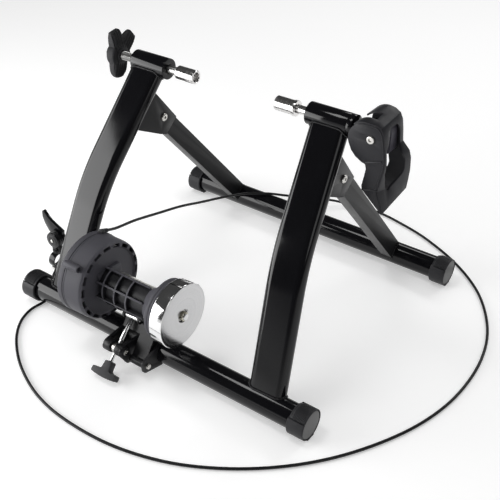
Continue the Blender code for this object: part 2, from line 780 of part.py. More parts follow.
def cam_distance(turn):
    """From the pin to the middle of the rod's domed end, at an angle of the cam: a steady spiral."""
    seat = ROD_DOME_R + GAP
    share = min(max((turn - (180 - CAM_SWING)) / CAM_SWING, 0), 1)
    return CAM_OPEN_R + seat + (CAM_SHUT_R - CAM_OPEN_R) * share


def cam_outline():
    """The cam's edge about the pin: the spiral of the rod's domed end, drawn in by the dome and a gap."""
    slope = (CAM_SHUT_R - CAM_OPEN_R) / math.radians(CAM_SWING)
    outline = arc((0, 0), CAM_OPEN_R, 60, 180 - CAM_SWING, 5)
    steps = 12
    for k in range(steps + 1):
        degrees = 180 - CAM_SWING + CAM_SWING * k / steps
        turn = math.radians(degrees)
        distance = cam_distance(degrees)
        out = Vector((math.cos(turn), math.sin(turn)))
        on = Vector((-math.sin(turn), math.cos(turn)))
        normal = (out * distance - on * slope).normalized()
        outline.append(out * distance - normal * (ROD_DOME_R + GAP))
    return outline + arc((0, 0), CAM_SHUT_R, 200, 395, 20)


def build_right_clamp():
    """The cam side: guide bush, return spring and sliding rod in the barrel, and the clevis on its end."""
    axle = (AXLE_Y, AXLE_Z)
    bore_r = BARREL_R - BARREL_WALL - GAP
    bush_x = BARREL_INNER_X + BUSH_INSET
    finish(ring("right_guide_bush", bore_r, NOSE_R + GAP, bush_x, bush_x + GUIDE_LENGTH, axle), zinc)
    spring_x = bush_x + GUIDE_LENGTH + GAP
    spring = ring("clamp_spring", SPRING_R, SPRING_BORE_R, spring_x, COLLAR_X - GAP, axle, SMALL)
    finish(spring, bright_steel)
    tip_x = CAM_PIN_X - cam_distance(180) + ROD_DOME_R
    dome = [
        (ROD_DOME_R * math.sin(turn), tip_x - ROD_DOME_R * (1 - math.cos(turn)))
        for turn in [math.asin(PUSH_ROD_R / ROD_DOME_R) * k / 3 for k in range(4)]
    ]
    cup_end = RIGHT_CUP_X + RIGHT_CUP_LENGTH + RIGHT_RIM
    profile = dome + [
        (PUSH_ROD_R, ROD_STEP_X),
        (NOSE_R, ROD_STEP_X),
        (NOSE_R, COLLAR_X + COLLAR_WIDTH),
        (COLLAR_R, COLLAR_X + COLLAR_WIDTH),
        (COLLAR_R, COLLAR_X),
        (NOSE_R, COLLAR_X),
        (NOSE_R, cup_end + GAP),
        (SPIGOT_R, cup_end + GAP),
        (SPIGOT_R, cup_end - SPIGOT_LENGTH),
        (0, cup_end - SPIGOT_LENGTH),
    ]
    finish(turned("right_rod", profile, (0, *axle), (1, 0, 0)), chrome, "right_clamp_axis")
    cup_profile = (
        (0, cup_end - SPIGOT_LENGTH - GAP),
        (SPIGOT_R + GAP, cup_end - SPIGOT_LENGTH - GAP),
        (SPIGOT_R + GAP, cup_end),
        (RIGHT_RIM_R, cup_end),
        (RIGHT_RIM_R, cup_end - RIGHT_RIM),
        (CUP_R, cup_end - RIGHT_RIM),
        (CUP_R, RIGHT_CUP_X + CUP_EDGE),
        (CUP_R - CUP_EDGE, RIGHT_CUP_X),
        (CUP_RECESS_R, RIGHT_CUP_X),
        (CUP_RECESS_R, RIGHT_CUP_X + CUP_RECESS_DEPTH * 0.8),
        (0, RIGHT_CUP_X + CUP_RECESS_DEPTH * 0.8),
    )
    finish(turned("right_axle_cup", cup_profile, (0, *axle), (1, 0, 0)), chrome, "right_clamp_axis")
    build_pivot_block()


def build_pivot_block():
    start = BARREL_OUTER_X + GAP
    slot_x = CAM_PIN_X - BLOCK_NOSE_R - 0.0005
    middle = (CAM_PIN_X, AXLE_Z)
    turn = 0.006
    outline = arc((0, 0), BLOCK_NOSE_R, 0, 215, 14) + [(-0.004, -BLOCK_DROP)]
    outline += arc((BLOCK_NOSE_R - turn, turn - BLOCK_DROP), turn, -90, 0, 4)
    nose = slab(
        "pivot_block",
        (outline, circle((0, 0), CAM_PIN_R + GAP)),
        "Y",
        AXLE_Y - BLOCK_NEAR,
        AXLE_Y + BLOCK_FAR,
        middle,
    )
    web_x = slot_x - 0.004
    inset = 0.0005
    web = block(
        "pivot_block_web",
        (web_x, AXLE_Y - BLOCK_NEAR + inset, AXLE_Z - BLOCK_NECK_R),
        (CAM_PIN_X - CAM_PIN_R - 0.002, AXLE_Y + BLOCK_FAR - inset, AXLE_Z + BLOCK_NECK_R),
    )
    neck = rod("pivot_block_neck", BLOCK_NECK_R, start, slot_x - 0.001, (AXLE_Y, AXLE_Z), MEDIUM)
    flange = rod("pivot_block_flange", BARREL_R, start, start + BLOCK_FLANGE, (AXLE_Y, AXLE_Z), MEDIUM)
    join(nose, web, neck, flange)
    slot_half = CAM_WIDTH / 2 + GAP
    reach = BLOCK_DROP + 0.005
    slot = block(
        "pivot_block_slot",
        (slot_x, AXLE_Y - slot_half, AXLE_Z - reach),
        (CAM_PIN_X + reach, AXLE_Y + slot_half, AXLE_Z + reach),
    )
    bore = rod("pivot_block_bore", PUSH_ROD_R + GAP, start - 0.002, slot_x + 0.002, (AXLE_Y, AXLE_Z), SMALL)
    cut(nose, slot, bore)
    finish(nose, light_zinc)


def lever_rails():
    """The lever's outer edge on its two cheeks, from the hood's back over the top and down: (X, Z)."""
    near = arc(LEVER_ROUND[:2], LEVER_ROUND[2], 132, 84, 5)
    near += [(0.2365, 0.3852), (0.2425, 0.3825), (0.2465, 0.3760), (0.2490, 0.3670), (0.2515, 0.3520)]
    near += [(0.2530, 0.3370), (0.2525, 0.3270), (0.2495, 0.3120), (0.2450, 0.2920), (0.2570, 0.2620)]
    far = arc(LEVER_FAR_ROUND[:2], LEVER_FAR_ROUND[2], 140, 86, 5)
    far += [(0.2360, 0.3905), (0.2425, 0.3865), (0.2460, 0.3795), (0.2480, 0.3665), (0.2498, 0.3480)]
    far += [(0.2610, 0.3370), (0.2642, 0.3280), (0.2652, 0.3100), (0.2640, 0.2930), (0.2625, 0.2800)]
    return near, far


def strip(name, near, far, near_y, far_y, thickness):
    """A bent sheet between two edges, thickened inward. The edges are unlike, so faces are laid by hand."""
    mesh = bpy.data.meshes.new(name)
    points = [(x, near_y, z) for x, z in near] + [(x, far_y, z) for x, z in far]
    count = len(near)
    faces = [(k, k + 1, count + k + 1, count + k) for k in range(count - 1)]
    mesh.from_pydata(points, [], faces)
    obj = new_object(name, mesh)
    shell = obj.modifiers.new("shell", "SOLIDIFY")
    shell.thickness = thickness
    shell.offset = 1
    shell.use_even_offset = True
    return realised(obj)


def cheek_outline(middle, rail, back):
    """A cheek of the lever: the round head, the rail down its outer side, and back up its inner side."""
    return arc(middle[:2], middle[2], 198, 84, 13) + rail[6:] + back


def build_cam_lever():
    """A forked lever: two cheeks, a hood over the clevis and a finger plate with an opening in it."""
    near_y = AXLE_Y - LEVER_NEAR
    far_y = AXLE_Y + LEVER_FAR
    near, far = lever_rails()
    near_back = [(0.2486, 0.2850), (0.2242, 0.2895), (0.2230, 0.2960), (0.2255, 0.3090), (0.2275, 0.3220)]
    near_back += [(0.2256, 0.3285), (0.2200, 0.3300), (0.2105, 0.3355), (0.2035, 0.3430)]
    far_back = [(0.2450, 0.2790), (0.2350, 0.2870), (0.2290, 0.3000), (0.2300, 0.3180), (0.2270, 0.3310)]
    far_back += [(0.2180, 0.3390), (0.2090, 0.3500)]
    pin_hole = circle((CAM_PIN_X, AXLE_Z), CAM_PIN_R + GAP)
    near_outline = cheek_outline(LEVER_ROUND, near[:-1], near_back)
    far_outline = cheek_outline(LEVER_FAR_ROUND, far[:-1], far_back)
    lever = slab("cam_lever", (near_outline, pin_hole), "Y", near_y, near_y + LEVER_CHEEK)
    far_cheek = slab("cam_lever_far_cheek", (far_outline, pin_hole), "Y", far_y - LEVER_CHEEK, far_y)
    inset = 0.0005
    middle = Vector(LEVER_ROUND[:2])
    drawn_in = [[middle + (Vector(point) - middle) * 0.985 for point in rail] for rail in (near, far)]
    sheet = strip("cam_lever_sheet", *drawn_in, near_y + inset, far_y - inset, LEVER_SHELL)
    left = near_y + LEVER_CHEEK - 0.001
    window_outline = (
        (left, 0.3520), (0.1900, 0.3620), (0.1930, 0.3700), (0.1980, 0.3790), (0.2170, 0.3790),
        (0.2220, 0.3700), (0.2220, 0.3490), (0.2160, 0.3400), (0.2195, 0.3310), (0.2200, 0.3170),
        (0.2170, 0.3100), (0.1960, 0.2890), (0.1905, 0.2970), (0.1850, 0.3130), (left, 0.3200),
    )
    cut(sheet, slab("cam_lever_window", (window_outline,), "X", 0.2395, 0.2800))
    notch = block(
        "cam_lever_notch",
        (0.190, AXLE_Y - HOOD_NOTCH / 2, AXLE_Z + 0.006),
        (CAM_PIN_X - 0.001, AXLE_Y + HOOD_NOTCH / 2, AXLE_Z + 0.040),
    )
    cut(sheet, notch)
    join(lever, far_cheek, sheet)
    finish(lever, lever_plastic, "cam_lever_axis")
    lobe = slab(
        "cam_lobe",
        (cam_outline(), circle((0, 0), CAM_PIN_R + GAP)),
        "Y",
        AXLE_Y - CAM_WIDTH / 2,
        AXLE_Y + CAM_WIDTH / 2,
        (CAM_PIN_X, AXLE_Z),
    )
    finish(lobe, light_zinc, "cam_lever_axis")
    low = near_y - GAP
    high = far_y + GAP
    profile = (
        (0, high + 0.0022),
        (CAM_HEAD_R, high + 0.0022),
        (CAM_HEAD_R, high),
        (CAM_PIN_R, high),
        (CAM_PIN_R, low),
        (CAM_HEAD_R, low),
        (CAM_HEAD_R - 0.0008, low - 0.0022),
        (0, low - 0.0022),
    )
    finish(turned("cam_pin", profile, (CAM_PIN_X, 0, AXLE_Z), (0, 1, 0), SMALL), chrome, "cam_lever_axis")


def unit_axis():
    return (UNIT_Y, UNIT_Z)


def build_housing():
    """The drum's two shells. The back one seats a bearing and the fixed magnets."""
    seat = BEARING_R + GAP
    boss = seat + DRUM_WALL
    carrier_in = 0.036
    carrier_out = 0.041
    magnet_back = FIXED_MAGNET_SPAN[0] - GAP
    floor_x = DRUM_BACK_X + DRUM_WALL
    rim_x = DRUM_SPLIT_X - GAP
    back_profile = (
        (DRUM_R, rim_x),
        (DRUM_R, DRUM_BACK_X + 0.0025),
        (DRUM_R - 0.0025, DRUM_BACK_X),
        (seat - 0.0025, DRUM_BACK_X),
        (seat - 0.0025, LEFT_BEARING_X - GAP),
        (seat, LEFT_BEARING_X - GAP),
        (seat, rim_x),
        (boss, rim_x),
        (boss, floor_x),
        (carrier_in, floor_x),
        (carrier_in, magnet_back),
        (carrier_out, magnet_back),
        (carrier_out, floor_x),
        (DRUM_R - DRUM_WALL, floor_x),
        (DRUM_R - DRUM_WALL, rim_x),
    )
    back = turned("housing_back_shell", back_profile, (0, *unit_axis()), (1, 0, 0), BIG)
    finish(back, housing_plastic, "unit_tilt_axis")
    outer_r = DRUM_R - DRUM_LIP
    dish_x = DRUM_FRONT_X - DISH_DEPTH
    magnet_seat = SWING_MAGNET_SPAN[0] - 0.001
    front_profile = (
        (HUB_R, HUB_X),
        (HUB_R, dish_x),
        (DISH_R, dish_x),
        (DISH_R + 0.0025, DRUM_FRONT_X),
        (outer_r - 0.0035, DRUM_FRONT_X - 0.0005),
        (outer_r - 0.0008, DRUM_FRONT_X - 0.0045),
        (outer_r, DRUM_FRONT_X - 0.0100),
        (outer_r, DRUM_SPLIT_X),
        (outer_r - DRUM_WALL, DRUM_SPLIT_X),
        (outer_r - DRUM_WALL, DRUM_FRONT_X - 0.0060),
        (outer_r - 0.0055, DRUM_FRONT_X - 0.0032),
        (DISH_R + 0.0030, DRUM_FRONT_X - 0.0032),
        (DISH_R - 0.0010, dish_x - DRUM_WALL),
        (HUB_R, dish_x - DRUM_WALL),
        (HUB_R, magnet_seat),
        (SHAFT_R + 0.001, magnet_seat),
        (SHAFT_R + 0.001, HUB_X),
    )
    front = turned("housing_front_shell", front_profile, (0, *unit_axis()), (1, 0, 0), VENTS * 2)
    half_length = (VENT_LENGTH - VENT_WIDTH) / 2
    vents = []
    for k in range(VENTS):
        turn = math.tau * (k + 0.5) / VENTS
        out = Vector((math.cos(turn), math.sin(turn)))
        on = Vector((-out.y, out.x))
        slot = arc((0, half_length), VENT_WIDTH / 2, 0, 180, 2)
        slot += arc((0, -half_length), VENT_WIDTH / 2, 180, 360, 2)
        vents.append([out * VENT_R + out * x + on * y for x, y in slot])
    vent_span = (DRUM_FRONT_X - 0.008, DRUM_FRONT_X + 0.004)
    cut(front, slab("housing_vents", vents, "X", *vent_span, unit_axis()))
    turn = math.radians(POST_ANGLE)
    out = Vector((math.cos(turn), math.sin(turn)))
    post_at = Vector(unit_axis()) + out * POST_OUT
    post = rod("housing_post", POST_R, *POST_SPAN, post_at, SMALL)
    on = Vector((-out.y, out.x))
    inner = out * (outer_r - DRUM_WALL / 2)
    outer = out * POST_OUT
    web_outline = [inner + on * 0.003, inner - on * 0.003, outer - on * 0.003, outer + on * 0.003]
    web = slab("housing_post_web", (web_outline,), "X", DRUM_SPLIT_X, DRUM_FRONT_X - 0.012, unit_axis())
    join(front, web, post)
    bore_span = (POST_SPAN[1] - 0.010, POST_SPAN[1] + 0.002)
    cut(front, rod("housing_post_bore", POST_R - 0.002, *bore_span, post_at, SMALL))
    finish(front, housing_plastic, "unit_tilt_axis")


def build_brake():
    """Inside the drum: an aluminium disc between two rings of magnets, one of which the cable turns."""
    axis = unit_axis()
    bore = SHAFT_R + GAP
    disc_profile = (
        (ROTOR_R, ROTOR_SPAN[1]),
        (ROTOR_R, ROTOR_SPAN[0]),
        (ROTOR_HUB_R, ROTOR_SPAN[0]),
        (ROTOR_HUB_R, ROTOR_HUB_X),
        (bore, ROTOR_HUB_X),
        (bore, ROTOR_SPAN[1]),
    )
    finish(turned("rotor_disc", disc_profile, (0, *axis), (1, 0, 0), BIG), aluminium, "unit_axis")
    fixed = ring("fixed_magnet_ring", MAGNET_R, MAGNET_BORE_R, *FIXED_MAGNET_SPAN, axis)
    finish(fixed, magnet_grey, "unit_tilt_axis")
    swinging = ring("swing_magnet_ring", MAGNET_R, HUB_R + 2 * GAP, *SWING_MAGNET_SPAN, axis)
    finish(swinging, magnet_grey, "unit_axis")


def build_spindle():
    axis = unit_axis()
    bore = SHAFT_R + GAP
    for name, low in (("left_bearing", LEFT_BEARING_X), ("right_bearing", RIGHT_BEARING_X)):
        bearing = ring(name, BEARING_R, bore, low, low + BEARING_WIDTH, axis, SMALL)
        finish(bearing, bright_steel, "unit_tilt_axis")
    finish(rod("roller_shaft", SHAFT_R, *SHAFT_SPAN, axis), chrome, "unit_axis")
    finish(ring("roller", ROLLER_R, bore, *ROLLER_SPAN, axis, BIG), bright_steel, "unit_axis")
    low, high = FLYWHEEL_SPAN
    floor_x = high - FLYWHEEL_RECESS
    profile = (
        (FLYWHEEL_R - FLYWHEEL_EDGE, high),
        (FLYWHEEL_R, high - FLYWHEEL_EDGE),
        (FLYWHEEL_R, low + FLYWHEEL_EDGE),
        (FLYWHEEL_R - FLYWHEEL_EDGE, low),
        (bore, low),
        (bore, floor_x),
        (FLYWHEEL_RECESS_R, floor_x),
        (FLYWHEEL_RECESS_R, high),
    )
    finish(turned("flywheel", profile, (0, *axis), (1, 0, 0), BIG + 10), chrome, "unit_axis")
    washer_x = floor_x + GAP
    washer = ring("flywheel_washer", WASHER_R, bore, washer_x, washer_x + WASHER, axis, SMALL)
    finish(washer, zinc, "unit_axis")
    nut_x = washer_x + WASHER + GAP
    finish(hex_nut("flywheel_nut", NUT_R + 0.0012, bore, nut_x, nut_x + 0.006, axis), zinc, "unit_axis")


def build_yoke():
    """The moulded body round the roller: a ribbed wall on its near side, a cone and a full flange."""
    axis = unit_axis()
    start, end = YOKE_ARC
    yoke = slab("yoke", (sector(YOKE_R, YOKE_BORE_R, start, end, 12),), "X", *YOKE_SPAN, axis)
    for k, turn in enumerate(YOKE_RAILS):
        half = math.degrees(YOKE_RIB / 2 / YOKE_R)
        outline = sector(YOKE_RAIL_R, YOKE_BORE_R + 0.001, turn - half, turn + half, 1)
        join(yoke, slab(f"yoke_rail_{k}", (outline,), "X", YOKE_SPAN[0], YOKE_SPAN[1] - 0.001, axis))
    for k, x in enumerate(YOKE_RIBS):
        half = math.degrees(YOKE_RIB / 2 / YOKE_R)
        arc_span = (YOKE_RAILS[0] - half / 2, YOKE_RAILS[-1] + half / 2)
        outline = sector(YOKE_RAIL_R - 0.0004, YOKE_BORE_R + 0.001, *arc_span, 10)
        join(yoke, slab(f"yoke_rib_{k}", (outline,), "X", x - YOKE_RIB / 2, x + YOKE_RIB / 2, axis))
    plate_x = DRUM_FRONT_X - DISH_DEPTH + GAP
    side = 0.032
    plate_outline = rounded(((-side, -side), (side, -side), (side, side), (-side, side)), 0.006, 3)
    plate_hole = circle((0, 0), HUB_R + 2 * GAP, MEDIUM)
    plate = slab("yoke_plate", (plate_outline, plate_hole), "X", plate_x, YOKE_SPAN[0] + 0.001, axis)
    cone_low, cone_high = CONE_SPAN
    wall = YOKE_R - YOKE_BORE_R
    cone_profile = (
        (FLANGE_R - 0.0015, cone_high),
        (YOKE_R - 0.0005, cone_low),
        (YOKE_R - wall + 0.0005, cone_low),
        (FLANGE_R - 0.0015 - wall * 1.4, cone_high),
    )
    cone = turned("yoke_cone", cone_profile, (0, *axis), (1, 0, 0), BIG)
    open_side = [(0, 0)] + arc((0, 0), 0.060, end - 361.5, start + 1.5, 16)
    cut(cone, slab("yoke_cone_opening", (open_side,), "X", cone_low - 0.004, cone_high + 0.004, axis))
    seat = BEARING_R + GAP
    low, high = FLANGE_SPAN
    seat_x = RIGHT_BEARING_X - GAP
    flange_profile = (
        (FLANGE_R - 0.001, high),
        (FLANGE_R, high - 0.001),
        (FLANGE_R, low),
        (SHAFT_R + 0.002, low),
        (SHAFT_R + 0.002, seat_x),
        (seat, seat_x),
        (seat, high),
    )
    flange = turned("yoke_flange", flange_profile, (0, *axis), (1, 0, 0), BIG)
    pad = block("yoke_pad", (PAD_SPAN[0], PAD_Y[0], PAD_Z[0]), (PAD_SPAN[1], PAD_Y[1], PAD_Z[1]))
    join(yoke, plate, cone, flange, pad)
    hole = circle((0, 0), YOKE_SCREW_R + GAP)
    bore_span = (PAD_Z[0] - 0.002, PAD_Z[1] - 0.001)
    for k, x in enumerate(YOKE_SCREWS_X):
        cut(yoke, slab(f"yoke_screw_bore_{k}", (hole,), "Z", *bore_span, (x, YOKE_SCREW_Y)))
    finish(yoke, housing_plastic, "unit_tilt_axis")


def build_swing_bracket():
    """Bracket under the yoke: a sleeve on the pivot pin, a leaning plate, and a fork for the cross pin."""
    flange_top = PAD_Z[0] - GAP
    flange_low = flange_top - SWING_PLATE
    sleeve_low = MIDDLE_EAR_X + EAR_PLATE + 0.0035
    sleeve_high = RIGHT_EAR_X - 0.0005
    bracket = ring("swing_bracket", SLEEVE_R, PIVOT_R + GAP, sleeve_low, sleeve_high, PIVOT, SMALL)
    top = Vector((SWING_TOP_Y, flange_low + SWING_PLATE / 2))
    along = (top - PIVOT).normalized()
    square = Vector((along.y, -along.x)) * SWING_PLATE / 2
    start = PIVOT + along * (PIVOT_R + 0.001)
    outline = (start + square, top + square, top - square, start - square)
    plate = slab("swing_plate", (outline,), "X", FORK_SPAN[0] + 0.0005, sleeve_high - 0.0005)
    notch_low = (FORK_SPAN[0] - 0.01, -0.1, 0)
    cut(plate, block("swing_plate_notch", notch_low, (sleeve_low + 0.0005, 0.1, SWING_NOTCH_Z)))
    flange_corner = (FORK_SPAN[0] - 0.002, PAD_Y[0], flange_low)
    flange = block("swing_flange", flange_corner, (PAD_SPAN[1], PAD_Y[1], flange_top))
    join(bracket, plate, flange)
    ear = [(SWING_TOP_Y, flange_low + 0.001), (CROSS_PIN.x - FORK_R, flange_low + 0.001)]
    ear += arc(CROSS_PIN, FORK_R, 180, 300, 8)
    ear += [(SWING_TOP_Y - 0.006, CROSS_PIN.y - 0.006), (SWING_TOP_Y, CROSS_PIN.y)]
    hole = circle(CROSS_PIN, CROSS_PIN_R + PIVOT_PLAY)
    for k, low in enumerate((FORK_SPAN[0], FORK_SPAN[1] - FORK_EAR)):
        join(bracket, slab(f"swing_ear_{k}", (ear, hole), "X", low, low + FORK_EAR))
    screw_hole = circle((0, 0), YOKE_SCREW_R + GAP)
    hole_span = (flange_low - 0.002, flange_top + 0.002)
    for k, x in enumerate(YOKE_SCREWS_X):
        cut(bracket, slab(f"swing_hole_{k}", (screw_hole,), "Z", *hole_span, (x, YOKE_SCREW_Y)))
    finish(bracket, satin_black, "unit_tilt_axis")
    for side, x in zip(("left", "right"), YOKE_SCREWS_X):
        head_top = flange_low - GAP
        tip = PAD_Z[1] - 0.002
        profile = (
            (0, tip),
            (YOKE_SCREW_R, tip),
            (YOKE_SCREW_R, head_top),
            (0.0045, head_top),
            (0.0045, head_top - 0.0035),
            (0, head_top - 0.0035),
        )
        screw = turned(f"{side}_yoke_screw", profile, (x, YOKE_SCREW_Y, 0), (0, 0, 1), 12)
        finish(screw, bright_steel, "unit_tilt_axis")


def build_unit_bracket():
    """Fixed to the main crossbar: a saddle and three ears, for the unit's pivot and the bolt's trunnion."""
    saddle_r = CROSSBAR_R + GAP
    outline = sector(saddle_r + SADDLE_WALL, saddle_r - SADDLE_WALL, *SADDLE_ARC, 12)
    bracket = slab("unit_bracket", (outline,), "X", *SADDLE_SPAN, MAIN_AXIS)
    trunnion_hole = circle(TRUNNION, TRUNNION_PIN_R + GAP)
    pivot_hole = circle(PIVOT, PIVOT_R + GAP)
    left = [(-0.004, 0.0490), (-0.010, 0.0510)] + arc(TRUNNION, EAR_BOSS_R, 95, 235, 10)
    left += [(-0.012, 0.0035), (-0.004, 0.0045)]
    middle = [(-0.004, 0.0450), (-0.014, 0.0465)] + arc(TRUNNION, EAR_BOSS_R, 80, 200, 8)
    middle += arc(PIVOT, EAR_BOSS_R, 190, 275, 6) + [(-0.010, 0.0030), (-0.004, 0.0045)]
    right = [(-0.004, 0.0440), (-0.012, 0.0430)] + [(-0.046, 0.0340), (-0.0495, 0.0310), (-0.0500, 0.0270)]
    right += [(-0.0492, 0.0165), (-0.0460, 0.0125), (-0.0100, 0.0030), (-0.004, 0.0045)]
    ears = (
        ("left", left, (trunnion_hole,), LEFT_EAR_X, LEFT_EAR_X + EAR_PLATE),
        ("middle", middle, (trunnion_hole, pivot_hole), MIDDLE_EAR_X, MIDDLE_EAR_X + EAR_PLATE),
        ("right", right, (pivot_hole,), RIGHT_EAR_X, RIGHT_EAR_X + EAR_PLATE),
    )
    for side, ear, holes, low, high in ears:
        join(bracket, slab(f"unit_bracket_{side}_ear", (ear, *holes), "X", low, high))
    boss = ring(
        "unit_bracket_boss",
        EAR_BOSS_R - 0.001,
        TRUNNION_PIN_R + 2 * GAP,
        MIDDLE_EAR_X + 0.001,
        MIDDLE_EAR_X + EAR_PLATE + 0.002,
        TRUNNION,
    )
    join(bracket, boss)
    cope_span = (SADDLE_SPAN[0] - 0.01, SADDLE_SPAN[1] + 0.01)
    cut(bracket, rod("unit_bracket_cope", saddle_r, *cope_span, MAIN_AXIS, BIG))
    finish(bracket, satin_black)
    pin_span = (MIDDLE_EAR_X - 0.0025, RIGHT_EAR_X + EAR_PLATE + 0.003)
    finish(rod("pivot_pin", PIVOT_R, *pin_span, PIVOT, SMALL), bright_steel)


def bolt_point(distance):
    """A point on the tension bolt's axis, by distance past the cross pin's middle."""
    spot = CROSS_PIN + BOLT_AXIS * distance
    return Vector((BOLT_PLANE_X, spot.x, spot.y))


def build_tension_bolt():
    """The bolt hangs from the cross pin, runs through the threaded trunnion and ends in a T-handle."""
    pin_low = FORK_SPAN[0] - 0.0005
    pin_high = FORK_SPAN[1] + 0.0005
    cross_pin = rod("cross_pin", CROSS_PIN_R, pin_low, pin_high, CROSS_PIN, SMALL)
    bore_r = TENSION_SPIGOT_R + GAP
    cut(cross_pin, pin_along("cross_pin_bore", bore_r, bolt_point(-0.010), bolt_point(0.010), 12))
    finish(cross_pin, chrome, "cross_pin_axis")
    span = (TRUNNION - CROSS_PIN).length
    body_low = LEFT_EAR_X + EAR_PLATE + 0.0005
    body_high = MIDDLE_EAR_X - 0.0005
    profile = (
        (0, MIDDLE_EAR_X + EAR_PLATE + 0.003),
        (TRUNNION_PIN_R, MIDDLE_EAR_X + EAR_PLATE + 0.003),
        (TRUNNION_PIN_R, body_high),
        (TRUNNION_R, body_high),
        (TRUNNION_R, body_low),
        (TRUNNION_PIN_R, body_low),
        (TRUNNION_PIN_R, LEFT_EAR_X - 0.0015),
        (0, LEFT_EAR_X - 0.0015),
    )
    trunnion = turned("trunnion", profile, (0, *TRUNNION), (1, 0, 0), MEDIUM)
    thread_r = TENSION_ROD_R + GAP
    cut(trunnion, pin_along("trunnion_bore", thread_r, bolt_point(span - 0.012), bolt_point(span + 0.012)))
    finish(trunnion, bright_steel, "trunnion_axis")
    along = Vector((0, *BOLT_AXIS))
    end = span + HUB_START + 0.010
    rod_profile = (
        (0, end),
        (TENSION_ROD_R, end),
        (TENSION_ROD_R, CROSS_PIN_R + GAP),
        (TENSION_SPIGOT_R, CROSS_PIN_R + GAP),
        (TENSION_SPIGOT_R, -CROSS_PIN_R + 0.0005),
        (0, -CROSS_PIN_R + 0.0005),
    )
    finish(turned("tension_rod", rod_profile, bolt_point(0), along, SMALL), chrome, "cross_pin_axis")
    hub_low = span + HUB_START
    hub_high = hub_low + HUB_LENGTH
    hub = pin_along("tension_knob", KNOB_HUB, bolt_point(hub_low), bolt_point(hub_high + 0.001), MEDIUM)
    depth = TENSION_BAR[2]
    half_bar = Vector(TENSION_BAR) / 2
    bar = block("tension_knob_bar", -half_bar, half_bar)
    bar.rotation_euler = Vector((0, 0, 1)).rotation_difference(along).to_euler()
    bar.location = bolt_point(hub_high + depth / 2)
    bevelled(bar, TENSION_BAR_EDGE)
    join(hub, bar)
    cut(hub, pin_along("tension_knob_bore", thread_r, bolt_point(hub_low - 0.005), bolt_point(end + GAP)))
    finish(hub, cap_plastic, "cross_pin_axis")


def build_cable_gland():
    """A bead on the drum's rim, from which the cable leaves."""
    along = (Vector(CABLE_ROUTE[0]) - CABLE_START).normalized()
    end = CABLE_START - along * GAP
    gland = pin_along("cable_gland", GLAND_R, end - along * GLAND_LENGTH, end, MEDIUM)
    seat = rod("cable_gland_seat", DRUM_R + GAP, DRUM_BACK_X - 0.02, DRUM_FRONT_X, unit_axis(), BIG * 2)
    cut(gland, seat)
    finish(gland, cap_plastic, "unit_tilt_axis")


def build_shifter():
    """A thumb shifter on a handlebar clamp. It stands on the floor on the clamp's lug."""
    x, y, z = SHIFTER
    low_y = y - SHIFTER_WIDTH / 2
    high_y = y + SHIFTER_WIDTH / 2
    body = slab("shifter_body", (circle((0, 0), SHIFTER_R, MEDIUM),), "Y", low_y, high_y, (x, z))
    clamp_top = CLAMP_Z + CLAMP_R + GAP
    neck = block("shifter_neck", (x - 0.008, low_y + 0.001, clamp_top), (x + 0.006, high_y - 0.001, z))
    round_end = circle((0, 0), ADJUSTER_R, 12)
    adjuster = slab("shifter_adjuster", (round_end,), "Z", ADJUSTER_END_Z, z, (ADJUSTER_X, y))
    join(body, neck, adjuster)
    finish(body, cap_plastic)
    low_x = CLAMP_X - CLAMP_WIDTH / 2
    high_x = CLAMP_X + CLAMP_WIDTH / 2
    clamp = ring("shifter_clamp", CLAMP_R, CLAMP_BORE_R, low_x, high_x, (y, CLAMP_Z))
    lug_top = CLAMP_Z - CLAMP_BORE_R - 0.0003
    join(clamp, block("shifter_lug", (low_x, y - 0.0085, 0), (high_x, y + 0.0085, lug_top)))
    screw_spot = (CLAMP_X, 0.0025)
    hole = circle((0, 0), CLAMP_SCREW_R + GAP, 12)
    cut(clamp, slab("shifter_lug_bore", (hole,), "Y", y - 0.012, y + 0.012, screw_spot))
    finish(clamp, cap_plastic)
    profile = (
        (0, 0.0095),
        (CLAMP_SCREW_R, 0.0095),
        (CLAMP_SCREW_R, -0.0088),
        (CLAMP_SCREW_R + 0.0006, -0.0088),
        (CLAMP_SCREW_R + 0.0006, -0.0106),
        (0, -0.0106),
    )
    screw = turned("shifter_clamp_screw", profile, (screw_spot[0], y, screw_spot[1]), (0, 1, 0), 12)
    finish(screw, bright_steel)
    horn = arc((0, 0), THUMB_HUB_R, -180, 40, 14)
    horn += [(0.0125, 0.0160), (-0.0025, 0.0230), (-0.0120, 0.0275), (-0.0195, 0.0330)]
    horn += arc(THUMB_TIP, THUMB_TIP_R, 10, 190, 6)
    horn += [(-0.0330, 0.0300), (-0.0290, 0.0180), (-0.0220, 0.0065)]
    lever = slab("shifter_lever", (horn,), "Y", high_y + GAP, high_y + GAP + THUMB_THICKNESS, (x, z))
    finish(bevelled(lever, 0.0012), cap_plastic, "shifter_lever_axis")


def cable_points():
    """Points read from a smooth curve through the route, none of them under the floor."""
    route = [Vector(CABLE_START)] + [Vector(point) for point in CABLE_ROUTE]
    route.append(Vector((ADJUSTER_X, SHIFTER.y, ADJUSTER_END_Z - 2 * GAP)))
    ends = [route[0] * 2 - route[1], *route, route[-1] * 2 - route[-2]]
    points = []
    for k in range(1, len(route)):
        before, start, end, after = ends[k - 1 : k + 3]
        for step in range(CABLE_STEPS):
            t = step / CABLE_STEPS
            points.append(
                0.5
                * (
                    2 * start
                    + (end - before) * t
                    + (2 * before - 5 * start + 4 * end - after) * t**2
                    + (3 * start - before - 3 * end + after) * t**3
                )
            )
    points.append(route[-1])
    for point in points:
        point.z = max(point.z, CABLE_R + 0.00005)
    return points


